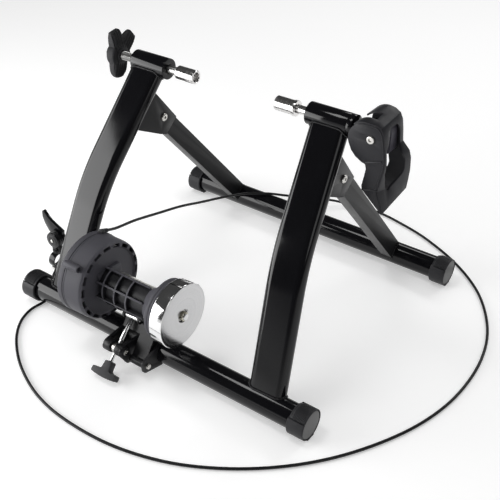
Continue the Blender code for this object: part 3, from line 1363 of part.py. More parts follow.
def build_cable():
    points = cable_points()
    curve = bpy.data.curves.new("cable", "CURVE")
    curve.dimensions = "3D"
    curve.bevel_depth = CABLE_R
    curve.bevel_resolution = 2
    curve.use_fill_caps = True
    spline = curve.splines.new("POLY")
    spline.points.add(len(points) - 1)
    for point, spot in zip(spline.points, points):
        point.co = (*spot, 1)
    finish(new_object("cable", curve), cap_plastic)
    length = sum((b - a).length for a, b in zip(points, points[1:]))
    print(f"The cable is {length:.3f} m long, in {len(points)} points")


def build_axes():
    """The empties that carry the moving pieces, each on its joint's axis."""
    axle = (AXLE_Y, AXLE_Z)
    new_axis("trainer", (0, 0, 0))
    AXES["trainer"][0].location = (0, -MIDDLE_Y, 0)
    new_axis("rear_fold_axis", (0, *HINGE), "trainer")
    new_axis("left_clamp_axis", (-BARREL_X, *axle), "trainer")
    new_axis("right_clamp_axis", (BARREL_X, *axle), "trainer")
    new_axis("cam_lever_axis", (CAM_PIN_X, *axle), "trainer")
    new_axis("unit_tilt_axis", (0, *PIVOT), "trainer")
    new_axis("unit_axis", (0, *unit_axis()), "unit_tilt_axis")
    new_axis("trunnion_axis", (BOLT_PLANE_X, *TRUNNION), "trainer")
    new_axis("cross_pin_axis", (BOLT_PLANE_X, *CROSS_PIN), "trunnion_axis")
    new_axis("shifter_lever_axis", SHIFTER, "trainer")


def build_frame():
    build_crossbar("main_crossbar", MAIN_AXIS, "trainer")
    build_crossbar("rear_crossbar", REAR_AXIS, "rear_fold_axis")
    for side in (-1, 1):
        build_foot(f"main_{side_name(side)}_foot", side, MAIN_AXIS, "trainer")
        build_foot(f"rear_{side_name(side)}_foot", side, REAR_AXIS, "rear_fold_axis")
        build_upright(side)
        build_barrel(side)
        build_hinge_bracket(side)
        build_hinge_bolt(side)
        build_rear_arm(side)


def main():
    build_axes()
    build_frame()
    build_left_clamp()
    build_right_clamp()
    build_cam_lever()
    build_housing()
    build_brake()
    build_spindle()
    build_yoke()
    build_unit_bracket()
    build_swing_bracket()
    build_tension_bolt()
    build_cable_gland()
    build_shifter()
    build_cable()


clear_scene()
parts = new_collection("bike_trainer")
cutters = new_collection("cutters", helper=True)
black_paint = new_material("black_paint", (0.012, 0.012, 0.013), 0.18)
satin_black = new_material("satin_black", (0.018, 0.018, 0.019), 0.42)
cap_plastic = new_material("cap_plastic", (0.015, 0.015, 0.016), 0.55)
housing_plastic = new_material("housing_plastic", (0.030, 0.032, 0.037), 0.50)
lever_plastic = new_material("lever_plastic", (0.045, 0.045, 0.050), 0.45)
chrome = new_material("chrome", (0.78, 0.78, 0.78), 0.08, 1.0)
bright_steel = new_material("bright_steel", (0.62, 0.61, 0.58), 0.28, 1.0)
zinc = new_material("zinc", (0.48, 0.48, 0.47), 0.35, 1.0)
light_zinc = new_material("light_zinc", (0.55, 0.55, 0.55), 0.45, 1.0)
aluminium = new_material("aluminium", (0.70, 0.70, 0.70), 0.30, 1.0)
magnet_grey = new_material("magnet_grey", (0.20, 0.20, 0.20), 0.40, 1.0)
main()
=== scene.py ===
"""The looks of a folding indoor bike trainer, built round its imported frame.

Each operator makes one piece or a group of like pieces, and main calls them in order. Sizes are metres.
Pieces are drawn with Y = 0 on the main crossbar's axis, X along the crossbars and Z up, and are moved
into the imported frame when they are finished.
"""

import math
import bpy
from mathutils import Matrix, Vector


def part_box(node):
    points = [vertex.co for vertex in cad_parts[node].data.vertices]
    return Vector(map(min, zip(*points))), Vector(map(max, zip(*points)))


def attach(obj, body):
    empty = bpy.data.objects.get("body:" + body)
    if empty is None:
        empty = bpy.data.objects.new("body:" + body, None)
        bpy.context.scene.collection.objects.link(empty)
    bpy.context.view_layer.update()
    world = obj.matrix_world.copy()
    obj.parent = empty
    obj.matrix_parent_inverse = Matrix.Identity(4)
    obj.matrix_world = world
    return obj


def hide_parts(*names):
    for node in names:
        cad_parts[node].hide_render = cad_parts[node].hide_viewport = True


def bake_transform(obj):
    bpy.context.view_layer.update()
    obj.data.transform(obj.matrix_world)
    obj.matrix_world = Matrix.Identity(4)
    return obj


bl_info = {
    "name": "Bike Trainer Looks",
    "version": (1, 0, 0),
    "blender": (4, 5, 0),
    "location": "3D View > Sidebar > Trainer",
    "description": "Builds the finished surfaces of a folding indoor bike trainer",
    "category": "Add Mesh",
}

import bmesh
import bpy
from bpy.props import FloatProperty, FloatVectorProperty, IntProperty, PointerProperty
from bpy.types import Operator, Panel, PropertyGroup
from mathutils import Euler, Matrix, Vector

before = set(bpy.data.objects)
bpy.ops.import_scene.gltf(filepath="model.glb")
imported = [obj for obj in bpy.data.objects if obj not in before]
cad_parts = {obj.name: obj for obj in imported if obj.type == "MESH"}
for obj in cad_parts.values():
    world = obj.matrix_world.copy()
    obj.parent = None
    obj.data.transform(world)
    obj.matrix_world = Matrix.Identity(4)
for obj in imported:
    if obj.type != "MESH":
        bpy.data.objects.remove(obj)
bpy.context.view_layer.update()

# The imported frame's place: its main crossbar's axis is where Y = 0 is drawn
BAR_LOW, BAR_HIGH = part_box("main_crossbar")
ORIGIN = Vector((0, (BAR_LOW[1] + BAR_HIGH[1]) / 2, 0))

# Fits, and how far a weld's line stands off the tubes
GAP = 0.0003
WELD_LIFT = 0.0006

# Floor frame
CROSSBAR_LENGTH = 0.545
CROSSBAR_R = 0.019
CROSSBAR_WALL = 0.0015
FOOT_R = 0.0235
FOOT_DEPTH = 0.027
FOOT_INNER_X = CROSSBAR_LENGTH / 2 - FOOT_DEPTH
FOOT_END_WALL = 0.003
FOOT_PAD_DROP = 0.001
FOOT_PAD_HALF = 0.008
FOOT_PAD_RISE = 0.004
FOOT_DISC_R = 0.0217
FOOT_SLIT_ANGLE = 38.0
FOOT_SLIT_HALF = 0.0007
FOOT_UPPER_START = 0.0046
FOOT_UPPER_DROP = 0.0006
FOOT_RING_R = 0.0005
FOOT_RING_SPACING = 0.0020
FOOT_RING_ARC = (41.0, 98.0)
CROSSBAR_Z = FOOT_R + FOOT_PAD_DROP
MAIN_AXIS = Vector((0, CROSSBAR_Z))
REAR_AXIS = Vector((0.428, CROSSBAR_Z))

# Uprights
UPRIGHT_WIDTH = 0.057
UPRIGHT_THICKNESS = 0.023
UPRIGHT_FOOT_X = 0.198
KNEE = Vector((0.179, 0.079, 0.212))
BEND_REACH = 0.045
AXLE = Vector((0.2006, 0.3657))
UPRIGHT_TOP_X = 0.160
TOP_WELD_R = 0.0018

# Axle clamps
BARREL_R = 0.016
BARREL_WALL = 0.0025
BARREL_INNER_X = 0.125
BARREL_OUTER_X = 0.189
SCREW_R = 0.007
NOSE_R = 0.0063
NOSE_END_X = 0.107
SPIGOT_R = 0.004
SPIGOT_LENGTH = 0.013
CUP_R = 0.0104
CUP_X = 0.0725
CUP_LENGTH = 0.0335
CUP_RECESS_R = 0.0068
CUP_RECESS_DEPTH = 0.015
KNOB_X = 0.224
KNOB_DEPTH = 0.014
KNOB_BOSS = 0.006
KNOB_BOSS_R = 0.013
KNOB_HUB_R = 0.0200
KNOB_LOBES = ((98, 0.0395, 0.0112, 7), (37, 0.0410, 0.0112, 7), (-98, 0.0375, 0.0150, 3.2))
KNOB_SWELL = 0.006
GROOVE_DEPTH = 0.0022
THREAD_DEPTH = 0.0009
CAM_PIN_X = 0.231
CAM_PIN_R = 0.0035
CAM_HEAD_R = 0.006
RIGHT_CUP_X = 0.071
RIGHT_CUP_END = 0.105
RIGHT_RIM_R = 0.0112
RIGHT_RIM = 0.005
COLLAR_X = 0.172
COLLAR_R = 0.010
COLLAR_WIDTH = 0.003
ROD_STEP_X = 0.180
ROD_TIP_X = 0.2172
PUSH_ROD_R = 0.004
LEVER_NEAR = AXLE.x - 0.02175
LEVER_FAR = AXLE.x + 0.0314
LEVER_CHEEK = 0.004
LEVER_SHELL = 0.0025
LEVER_ROUND = (0.222, 0.361, 0.0245)
LEVER_FAR_ROUND = (0.2275, 0.3690, 0.0228)
HOOD_NOTCH = 0.016
CLEVIS_SOCKET_X = BARREL_OUTER_X + 0.0079
CLEVIS_ROUND_R = 0.0158
CLEVIS_ROOF_RISE = 0.0065

# The lever's outlines in (X, Z): its edges from the finger plate's top down, its backs from the tip up,
# the window in its front, and the moulded bars across its near cheek with their radii
NEAR_EDGE = (
    (0.2365, 0.3852), (0.2425, 0.3825), (0.2465, 0.3760), (0.2490, 0.3670), (0.2515, 0.3520),
    (0.2530, 0.3370), (0.2525, 0.3270), (0.2495, 0.3120), (0.2450, 0.2920), (0.2570, 0.2620),
)
FAR_EDGE = (
    (0.2360, 0.3905), (0.2425, 0.3865), (0.2460, 0.3795), (0.2480, 0.3665), (0.2498, 0.3480),
    (0.2610, 0.3370), (0.2642, 0.3280), (0.2652, 0.3100), (0.2640, 0.2930), (0.2625, 0.2800),
)
NEAR_BACK = (
    (0.2560, 0.2612), (0.2242, 0.2895), (0.2230, 0.2960), (0.2255, 0.3090), (0.2275, 0.3220),
    (0.2256, 0.3285), (0.2200, 0.3300), (0.2105, 0.3355), (0.2035, 0.3430),
)
FAR_BACK = (
    (0.2480, 0.2660), (0.2290, 0.2685), (0.2225, 0.2850), (0.2270, 0.3005), (0.2345, 0.3060),
    (0.2362, 0.3150), (0.2335, 0.3280), (0.2200, 0.3385), (0.2090, 0.3500),
)
LEVER_BARS = (
    ((0.2262, 0.3312), (0.2498, 0.3392), 0.0017),
    ((0.2242, 0.2902), (0.2462, 0.2955), 0.0016),
)

# The window's outline in (Y, Z)
WINDOW_LEFT = LEVER_NEAR + LEVER_CHEEK - 0.001
LEVER_WINDOW = (
    (WINDOW_LEFT, 0.3520), (0.1900, 0.3620), (0.1930, 0.3700), (0.1980, 0.3790), (0.2170, 0.3790),
    (0.2220, 0.3700), (0.2220, 0.3490), (0.2160, 0.3400), (0.2195, 0.3310), (0.2200, 0.3170),
    (0.2170, 0.3100), (0.1960, 0.2890), (0.1905, 0.2970), (0.1850, 0.3130), (WINDOW_LEFT, 0.3200),
)

# Rear frame
ARM_X = 0.165
ARM_WIDTH = 0.020
ARM_HEIGHT = 0.030
HINGE_RISE = 0.1318
HINGE_REACH = 0.0666
BRACKET_PLATE = 0.0025
BOLT_R = 0.004
BOLT_HEAD_R = 0.0065
BOLT_HEAD = 0.0025
NUT_HEIGHT = 0.0045
ARM_WELD_R = 0.0017

# Resistance unit
UNIT = Vector((-0.004, 0.113))
SHAFT_R = 0.005
SHAFT_SPAN = (-0.126, 0.063)
DRUM_BACK_X = -0.1296
DRUM_SPLIT_X = -0.118
DRUM_FRONT_X = -0.0816
DRUM_R = 0.0635
DRUM_LIP = 0.001
DRUM_WALL = 0.0025
DISH_DEPTH = 0.0034
DISH_R = 0.0515
HUB_R = 0.016
HUB_X = -0.080
VENT_R = 0.0564
VENT_WIDTH = 0.0054
VENT_LENGTH = 0.0136
POST_R = 0.0055
POST_ANGLE = 137.0
POST_OUT = 0.0680
POST_END_X = -0.090
SCREW_CIRCLE_R = 0.0535
BACK_SCREWS = 5
ROLLER_R = 0.020
ROLLER_SPAN = (-0.065, 0.015)
FLYWHEEL_R = 0.0493
FLYWHEEL_SPAN = (0.036, 0.0577)
FLYWHEEL_RECESS_R = 0.010
FLYWHEEL_RECESS = 0.005
WASHER_R = 0.0085
WASHER = 0.0015
NUT_R = 0.0084
BEARING_R = 0.011
LEFT_BEARING_X = -0.127
RIGHT_BEARING_X = 0.025
SWING_MAGNET_X = -0.098
YOKE_R = 0.028
YOKE_BORE_R = 0.025
YOKE_ARC = (100.0, 262.0)
YOKE_SPAN = (-0.081, 0.008)
YOKE_RAIL_R = 0.033
YOKE_RAILS = (105.0, 150.0, 195.0, 240.0)
YOKE_RIBS = (-0.068, -0.0455, -0.023)
YOKE_RIB = 0.0026
YOKE_PLATE_HALF = 0.0235
CONE_SPAN = (0.005, 0.0245)
FLANGE_R = 0.045
FLANGE_SPAN = (0.024, 0.0335)
PAD_Y = (-0.0215, 0.014)
PAD_FRONT_Y = -0.0125
PAD_Z = (0.082, 0.088)
PAD_SPAN = (-0.060, 0.0045)
YOKE_SCREW_R = 0.0025
YOKE_SCREW_Y = 0.008
YOKE_SCREWS_X = (-0.042, -0.004)

# Pivot and tension bolt: points are (Y, Z)
PIVOT = Vector((-0.040, 0.022))
PIVOT_R = 0.004
TRUNNION = Vector((-0.0495, 0.0385))
CROSS_PIN = Vector((-0.012, 0.0735))
CROSS_PIN_R = 0.004
BOLT_PLANE_X = -0.034
BOLT_AXIS = (TRUNNION - CROSS_PIN).normalized()
EAR_PLATE = 0.004
LEFT_EAR_X = -0.055
MIDDLE_EAR_X = -0.024
RIGHT_EAR_X = 0.011
FORK_SPAN = (-0.050, -0.018)
FORK_EAR = 0.003
FORK_R = 0.0062
SLEEVE_R = 0.0065
SWING_PLATE = 0.004
SWING_TOP_Y = 0.002
SWING_NOTCH_Z = 0.054
EAR_BOSS = 0.0096
EAR_BOSS_R = 0.0100
TRUNNION_R = 0.007
TRUNNION_PIN_R = 0.0045
TENSION_ROD_R = 0.003
TENSION_SPIGOT_R = 0.002
HUB_START = 0.022
HUB_LENGTH = 0.015
TENSION_BAR = (0.044, 0.013, 0.010)
TENSION_THREAD = (TENSION_ROD_R + 0.00018, 0.00125, 0.0004)
BOLT_SPAN = (TRUNNION - CROSS_PIN).length
ROD_END = BOLT_SPAN + HUB_START + 0.010

# Shifter and cable
SHIFTER = Vector((-0.295, 0.077, 0.058))
SHIFTER_R = 0.015
CLAMP_R = 0.014
CLAMP_Z = 0.0165
ADJUSTER_X = -0.284
ADJUSTER_R = 0.0035
ADJUSTER_END_Z = 0.038
GLAND_R = 0.0045
GLAND_LENGTH = 0.018
GLAND_RIBS = 5
CABLE_START = Vector((-0.120, 0.0357, 0.1672))
CABLE_ROUTE = (
    (-0.124, 0.060, 0.157), (-0.134, 0.112, 0.140), (-0.142, 0.175, 0.118), (-0.145, 0.234, 0.100),
    (-0.146, 0.290, 0.080), (-0.146, 0.350, 0.060), (-0.132, 0.398, 0.0495), (-0.111, 0.419, 0.0472),
    (-0.095, 0.431, 0.0466), (-0.070, 0.457, 0.038), (-0.017, 0.523, 0.015), (0.025, 0.547, 0.0045),
    (0.070, 0.556, 0.0025), (0.121, 0.547, 0.0025), (0.185, 0.527, 0.0025), (0.263, 0.486, 0.0025),
    (0.328, 0.430, 0.0025), (0.375, 0.356, 0.0025), (0.397, 0.280, 0.0025), (0.400, 0.198, 0.0025),
    (0.387, 0.125, 0.0025), (0.360, 0.057, 0.0025), (0.318, -0.012, 0.0025), (0.266, -0.070, 0.0025),
    (0.205, -0.117, 0.0025), (0.138, -0.151, 0.0025), (0.060, -0.171, 0.0025), (-0.023, -0.174, 0.0025),
    (-0.090, -0.163, 0.0025), (-0.152, -0.137, 0.0025), (-0.201, -0.103, 0.0025), (-0.231, -0.069, 0.0025),
    (-0.243, -0.037, 0.0025), (-0.241, -0.010, 0.0025), (-0.242, 0.010, 0.0025), (-0.252, 0.024, 0.0025),
    (-0.266, 0.034, 0.0025), (-0.278, 0.047, 0.0045), (-0.283, 0.060, 0.0105),
    (-0.284, 0.0715, 0.021), (-0.284, 0.077, 0.031),
)

# Axes that turned metal's marks run round, as (Y, Z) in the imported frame
UNIT_AXIS = (ORIGIN.y + UNIT.x, UNIT.y)
AXLE_AXIS = (ORIGIN.y + AXLE.x, AXLE.y)

# Painted and moulded finishes: their colour, roughness, grain and its depth, and what isn't as usual
COATINGS = {
    "black_paint": ("paint", 0.10, 300.0, 0.00002, {"scuffs": 0.08, "shine": 0.34}),
    "satin_black": ("satin", 0.36, 700.0, 0.00004, {"scuffs": 0.25}),
    "cap_plastic": ("cap", 0.50, 1300.0, 0.00006, {"scuffs": 0.25}),
    "housing_plastic": ("housing", 0.52, 1500.0, 0.00007, {"tone": 0.08}),
    "lever_plastic": ("lever", 0.40, 1100.0, 0.00010, {"tone": 0.14}),
    # The yoke's finish is dark as painted shade in the pockets between its ribs.
    "yoke_plastic": ("yoke", 0.42, 1300.0, 0.00006, {"tone": 0.10}),
    "knob_rubber": ("knob", 0.55, 1100.0, 0.00006, {"scuffs": 0.15}),
    "clevis_grey": ("clevis", 0.48, 800.0, 0.00010, {}),
    "cable_jacket": ("jacket", 0.38, 600.0, 0.00002, {"scuffs": 0.15}),
    "end_disc": ("disc", 0.42, 900.0, 0.00003, {"scuffs": 0.3, "tone": 0.10}),
}

# Bare metal finishes: colour, roughness, axis, fineness of the marks, their depth, and scuffs
METALS = {
    "chrome": ((0.78, 0.78, 0.78), 0.18, None, 500.0, 0.000001, 0.05),
    "flywheel_chrome": ((0.86, 0.86, 0.86), 0.09, UNIT_AXIS, 900.0, 0.000001, 0.04),
    "flywheel_face": ((0.66, 0.66, 0.665), 0.20, UNIT_AXIS, 2600.0, 0.000002, 0.04),
    "roller_steel": ((0.82, 0.81, 0.77), 0.30, UNIT_AXIS, 2200.0, 0.00002, 0.15),
    "clamp_chrome": ((0.78, 0.77, 0.76), 0.18, AXLE_AXIS, 2400.0, 0.000001, 0.05),
    "bright_steel": ((0.66, 0.65, 0.62), 0.24, None, 1400.0, 0.00002, 0.15),
    "zinc": ((0.50, 0.50, 0.49), 0.34, None, 900.0, 0.00003, 0.15),
    "yellow_zinc": ((0.76, 0.73, 0.62), 0.22, None, 900.0, 0.00001, 0.15),
    "light_zinc": ((0.34, 0.33, 0.36), 0.42, None, 700.0, 0.00005, 0.15),
    "aluminium": ((0.72, 0.72, 0.72), 0.30, UNIT_AXIS, 1800.0, 0.00002, 0.15),
    "magnet_grey": ((0.20, 0.20, 0.20), 0.42, None, 1200.0, 0.00005, 0.15),
}

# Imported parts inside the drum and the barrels, which keep their shape
HIDDEN = {
    "left_bearing": "bright_steel",
    "right_bearing": "bright_steel",
    "rotor_disc": "aluminium",
    "fixed_magnet_ring": "magnet_grey",
    "swing_magnet_ring": "magnet_grey",
    "left_thread_bush": "zinc",
    "right_guide_bush": "zinc",
    "clamp_spring": "bright_steel",
}

# Studio light: the dome's level, the floor's own white, and each lamp's place, aim, size and power
DOME_LEVEL = 0.40
FLOOR_GLOW = 0.30
LAMPS = {
    "key": ((-1.023, -0.878, 0.49), (-0.075, 0.011, 0.49), (1.2, 0.92), 18.0),
    "top": ((-0.5, -0.5, 2.3), (0, 0, 0.15), (0.6, 0.6), 8.0),
    "fill": ((1.9, -0.7, 1.3), (0, 0, 0.15), (0.7, 1.2), 4.0),
    "back": ((0.3, 1.9, 1.7), (0, 0, 0.15), (2.0, 0.5), 14.0),
}

# Camera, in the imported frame
CAMERA_PLACE = Vector((0.679, -0.887, 0.8765))
CAMERA_AZIMUTH = 36.0
CAMERA_ELEVATION = 34.8
CAMERA_LENS = 61.63
CAMERA_SHIFT = (0.004, -0.003)

# Left and right, as signs of X
SIDES = (-1, 1)

# Sides of round pieces
FINE = 128
ROUND = 72
SMALL = 40

FACING = {"X": Euler((math.pi / 2, 0, math.pi / 2)), "Y": Euler((math.pi / 2, 0, 0)), "Z": Euler((0, 0, 0))}


class TrainerSizes(PropertyGroup):
    """Sizes of the details that a user would change."""

    edge: FloatProperty(name="Edge", description="Rounding of plate edges", default=0.0006, unit="LENGTH")
    vents: IntProperty(name="Vents", description="Slots round the drum's front face", default=18)
    cap_rings: IntProperty(name="Cap rings", description="Fine rings on each foot cap", default=9)
    weld: FloatProperty(name="Weld", description="Radius of a weld bead", default=0.0021, unit="LENGTH")
    pitch: FloatProperty(name="Pitch", description="Pitch of the thread", default=0.002, unit="LENGTH")
    groove: FloatProperty(
        name="Groove", description="Spacing of the grooves on the wing knob", default=0.0046, unit="LENGTH"
    )
    cable: FloatProperty(name="Cable", description="Diameter of the cable", default=0.0045, unit="LENGTH")


def colour_property(name, description, default):
    return FloatVectorProperty(
        name=name, description=description, default=default, subtype="COLOR", size=3, min=0.0, max=1.0
    )


class TrainerColours(PropertyGroup):
    """Colours of the finishes."""

    paint: colour_property("Paint", "Gloss black paint of the tubes", (0.0042, 0.0042, 0.0052))
    satin: colour_property("Satin", "Satin black paint of the brackets", (0.0075, 0.0075, 0.0085))
    cap: colour_property("Cap", "Moulded black plastic of caps and knobs", (0.021, 0.021, 0.0235))
    housing: colour_property("Housing", "Moulded grey plastic of the drum", (0.064, 0.063, 0.074))
    lever: colour_property("Lever", "Charcoal plastic of the cam lever", (0.019, 0.019, 0.0225))
    # The yoke's colour is darker than its plastic, as painted shade in the pockets of its lattice.
    yoke: colour_property("Yoke", "Dark plastic round the roller", (0.009, 0.009, 0.011))
    knob: colour_property("Knob", "Dark rubbery plastic of the wing knob", (0.014, 0.014, 0.016))
    clevis: colour_property("Clevis", "Grey cast metal of the clevis", (0.060, 0.057, 0.072))
    jacket: colour_property("Jacket", "Black jacket of the cable", (0.008, 0.008, 0.009))
    disc: colour_property("Disc", "Grey end discs of the caps", (0.105, 0.105, 0.105))
    floor: colour_property("Floor", "Pale floor", (0.86, 0.86, 0.86))


def sizes():
    return bpy.context.scene.trainer_sizes


def colours():
    return bpy.context.scene.trainer_colours


def add_node(tree, kind, inputs=None, **settings):
    """A node with its settings, and each input either linked from a socket or set to a value."""
    made = tree.nodes.new(kind)
    for key, value in settings.items():
        setattr(made, key, value)
    for key, value in (inputs or {}).items():
        if isinstance(value, bpy.types.NodeSocket):
            tree.links.new(value, made.inputs[key])
        else:
            made.inputs[key].default_value = value
    return made


def new_tree(name, kind, inputs, outputs):
    """A node group with named sockets, given as (name, socket type, default). One made before comes alone."""
    found = bpy.data.node_groups.get(name)
    if found:
        return found, None, None
    tree = bpy.data.node_groups.new(name, kind)
    for label, socket, default in inputs:
        made = tree.interface.new_socket(label, in_out="INPUT", socket_type=socket)
        if default is not None:
            made.default_value = default
    for label, socket in outputs:
        tree.interface.new_socket(label, in_out="OUTPUT", socket_type=socket)
    return tree, tree.nodes.new("NodeGroupInput"), tree.nodes.new("NodeGroupOutput")


FLOAT = "NodeSocketFloat"
VECTOR = "NodeSocketVector"
GEOMETRY = "NodeSocketGeometry"


def shader_group(name, inputs, outputs):
    return new_tree(name, "ShaderNodeTree", inputs, outputs)


def noise(tree, where, scale, detail):
    """A noise value over a pattern's coordinates."""
    inputs = {"Vector": where, "Scale": scale, "Detail": detail}
    return add_node(tree, "ShaderNodeTexNoise", inputs).outputs["Fac"]


def maths(tree, operation, *values, clamp=False):
    inputs = dict(enumerate(values))
    return add_node(tree, "ShaderNodeMath", inputs, operation=operation, use_clamp=clamp).outputs["Value"]


def ranged(tree, socket, source, target, **settings):
    """A value carried from one range to another."""
    inputs = {"Value": socket, "From Min": source[0], "From Max": source[1]}
    inputs.update({"To Min": target[0], "To Max": target[1]})
    return add_node(tree, "ShaderNodeMapRange", inputs, **settings).outputs["Result"]


def spread(tree, socket, low, high):
    """A noise value, which stays near its middle, spread from low to high."""
    return ranged(tree, socket, (0.3, 0.7), (low, high))


def grain_group():
    """The fine pitted skin of a moulding or of paint: a height, and a tone that drifts over it."""
    tree, entry, leave = shader_group(
        "moulded_grain",
        (("Vector", VECTOR, None), ("Scale", FLOAT, 900.0), ("Drift", FLOAT, 14.0)),
        (("Height", FLOAT), ("Tone", FLOAT)),
    )
    if entry:
        where = entry.outputs["Vector"]
        tree.links.new(noise(tree, where, entry.outputs["Scale"], 3.0), leave.inputs["Height"])
        tree.links.new(noise(tree, where, entry.outputs["Drift"], 4.0), leave.inputs["Tone"])
    return tree


def scuff_group():
    """Sparse fine scratches and rubbed spots, as a mask from 0 to 1."""
    tree, entry, leave = shader_group(
        "light_scuffs",
        (("Vector", VECTOR, None), ("Scale", FLOAT, 60.0), ("Amount", FLOAT, 0.25)),
        (("Mask", FLOAT),),
    )
    if entry:
        where = entry.outputs["Vector"]
        stretched = add_node(tree, "ShaderNodeMapping", {"Vector": where, "Scale": (1.0, 9.0, 4.0)})
        lines = noise(tree, stretched.outputs["Vector"], entry.outputs["Scale"], 6.0)
        both = maths(tree, "MULTIPLY", lines, noise(tree, where, 22.0, 2.0))
        sparse = ranged(tree, both, (0.30, 0.46), (0.0, 1.0))
        mask = maths(tree, "MULTIPLY", sparse, entry.outputs["Amount"], clamp=True)
        tree.links.new(mask, leave.inputs["Mask"])
    return tree


def turning_group():
    """Rings left by turning about an axis along X: a height and a tone that change with the radius."""
    tree, entry, leave = shader_group(
        "turning_marks",
        (("Vector", VECTOR, None), ("Fineness", FLOAT, 2500.0)),
        (("Height", FLOAT), ("Tone", FLOAT)),
    )
    if entry:
        where = entry.outputs["Vector"]
        flat = add_node(tree, "ShaderNodeVectorMath", {0: where, 1: (0.0, 1.0, 1.0)}, operation="MULTIPLY")
        radius = add_node(tree, "ShaderNodeVectorMath", {0: flat.outputs["Vector"]}, operation="LENGTH")
        along = add_node(tree, "ShaderNodeSeparateXYZ", {"Vector": where}).outputs["X"]
        inputs = {"X": radius.outputs["Value"], "Y": along}
        spot = add_node(tree, "ShaderNodeCombineXYZ", inputs).outputs["Vector"]
        tree.links.new(noise(tree, spot, entry.outputs["Fineness"], 2.0), leave.inputs["Height"])
        tree.links.new(noise(tree, spot, 340.0, 3.0), leave.inputs["Tone"])
    return tree


def use_group(tree, group, inputs):
    return add_node(tree, "ShaderNodeGroup", inputs, node_tree=group)


def tinted(tree, socket, dark, light):
    made = add_node(tree, "ShaderNodeMix", {"Factor": socket}, data_type="RGBA")
    for socket_in in made.inputs:
        if socket_in.type == "RGBA" and socket_in.name == "A":
            socket_in.default_value = (*dark, 1.0)
        if socket_in.type == "RGBA" and socket_in.name == "B":
            socket_in.default_value = (*light, 1.0)
    return next(out for out in made.outputs if out.type == "RGBA")


def shade(colour, share):
    return tuple(min(part * share, 1.0) for part in colour)


def new_material(name):
    material = bpy.data.materials.new(name + "_finish")
    material.use_nodes = True
    tree = material.node_tree
    shader = tree.nodes["Principled BSDF"]
    where = add_node(tree, "ShaderNodeTexCoord").outputs["Object"]
    return material, tree, shader, where


def surfaced(tree, shader, where, marks, colour, tones, rough, uneven, scuffs, rub):
    """Gives a finish its drifting tone, its uneven gloss, and light scuffs on that gloss."""
    rubbed = use_group(tree, scuff_group(), {"Vector": where, "Amount": scuffs})
    drift = spread(tree, marks.outputs["Tone"], 0.0, 1.0)
    base = tinted(tree, drift, shade(colour, tones[0]), shade(colour, tones[1]))
    tree.links.new(base, shader.inputs["Base Color"])
    gloss = spread(tree, marks.outputs["Tone"], rough * (1 - uneven), rough * (1 + uneven))
    worn = maths(tree, "MULTIPLY_ADD", rubbed.outputs["Mask"], rub, gloss, clamp=True)
    tree.links.new(worn, shader.inputs["Roughness"])


def add_bump(tree, shader, height, strength, distance):
    bump = add_node(
        tree, "ShaderNodeBump", {"Height": height, "Strength": strength, "Distance": distance}
    )
    tree.links.new(bump.outputs["Normal"], shader.inputs["Normal"])


def coated(name, colour, rough, grain, depth, scuffs=0.2, shine=0.3, tone=0.12):
    """A painted or moulded finish."""
    material, tree, shader, where = new_material(name)
    skin = use_group(tree, grain_group(), {"Vector": where, "Scale": grain, "Drift": 16.0})
    surfaced(tree, shader, where, skin, colour, (1 - tone, 1 + tone), rough, 0.14, scuffs, 0.35)
    shader.inputs["Specular IOR Level"].default_value = shine
    add_bump(tree, shader, skin.outputs["Height"], 0.5, depth)
    return material


def metal(name, colour, rough, axis, fineness, depth, scuffs):
    """A bare metal finish, with turning marks about an X axis where it has one."""
    material, tree, shader, where = new_material(name)
    shader.inputs["Metallic"].default_value = 1.0
    if axis:
        inputs = {"Vector": where, "Location": (0.0, -axis[0], -axis[1])}
        centred = add_node(tree, "ShaderNodeMapping", inputs).outputs["Vector"]
        marks = use_group(tree, turning_group(), {"Vector": centred, "Fineness": fineness})
    else:
        marks = use_group(tree, grain_group(), {"Vector": where, "Scale": fineness, "Drift": 30.0})
    surfaced(tree, shader, where, marks, colour, (0.94, 1.04), rough, 0.25, scuffs, 0.3)
    add_bump(tree, shader, marks.outputs["Height"], 0.4, depth)
    return material


def material_named(name):
    """A finish of the two tables, made when it's first asked for."""
    found = bpy.data.materials.get(name + "_finish")
    if found:
        return found
    if name in METALS:
        return metal(name, *METALS[name])
    colour, rough, grain, depth, others = COATINGS[name]
    return coated(name, getattr(colours(), colour), rough, grain, depth, **others)


def linked(name, data):
    obj = bpy.data.objects.new(name, data)
    bpy.context.scene.collection.objects.link(obj)
    return obj


def baked(obj):
    """The object as a plain welded mesh, with its modifiers and its place applied."""
    bpy.context.view_layer.update()
    graph = bpy.context.evaluated_depsgraph_get()
    mesh = bpy.data.meshes.new_from_object(obj.evaluated_get(graph))
    mesh.transform(obj.matrix_world)
    work = bmesh.new()
    work.from_mesh(mesh)
    bmesh.ops.remove_doubles(work, verts=work.verts, dist=0.000005)
    bmesh.ops.recalc_face_normals(work, faces=work.faces)
    work.to_mesh(mesh)
    work.free()
    name = obj.name
    bpy.data.objects.remove(obj, do_unlink=True)
    mesh.name = name
    return linked(name, mesh)


def from_work(work):
    """An object made of a bmesh, with its normals facing out. It gets its name when it's finished."""
    bmesh.ops.recalc_face_normals(work, faces=work.faces)
    mesh = bpy.data.meshes.new("piece")
    work.to_mesh(mesh)
    work.free()
    return linked("piece", mesh)


def softened(obj, width, segments=2, angle=35):
    """Rounds the piece's sharp edges."""
    edge = obj.modifiers.new("edge", "BEVEL")
    edge.width = width
    edge.segments = segments
    edge.limit_method = "ANGLE"
    edge.angle_limit = math.radians(angle)
    edge.use_clamp_overlap = True
    edge.harden_normals = False
    return baked(obj)


def combined(obj, others, operation):
    for other in others:
        boolean = obj.modifiers.new(other.name, "BOOLEAN")
        boolean.operation = operation
        boolean.solver = "EXACT"
        boolean.object = other
    result = baked(obj)
    for other in others:
        bpy.data.objects.remove(other, do_unlink=True)
    return result


def joined(obj, *others):
    return combined(obj, others, "UNION")


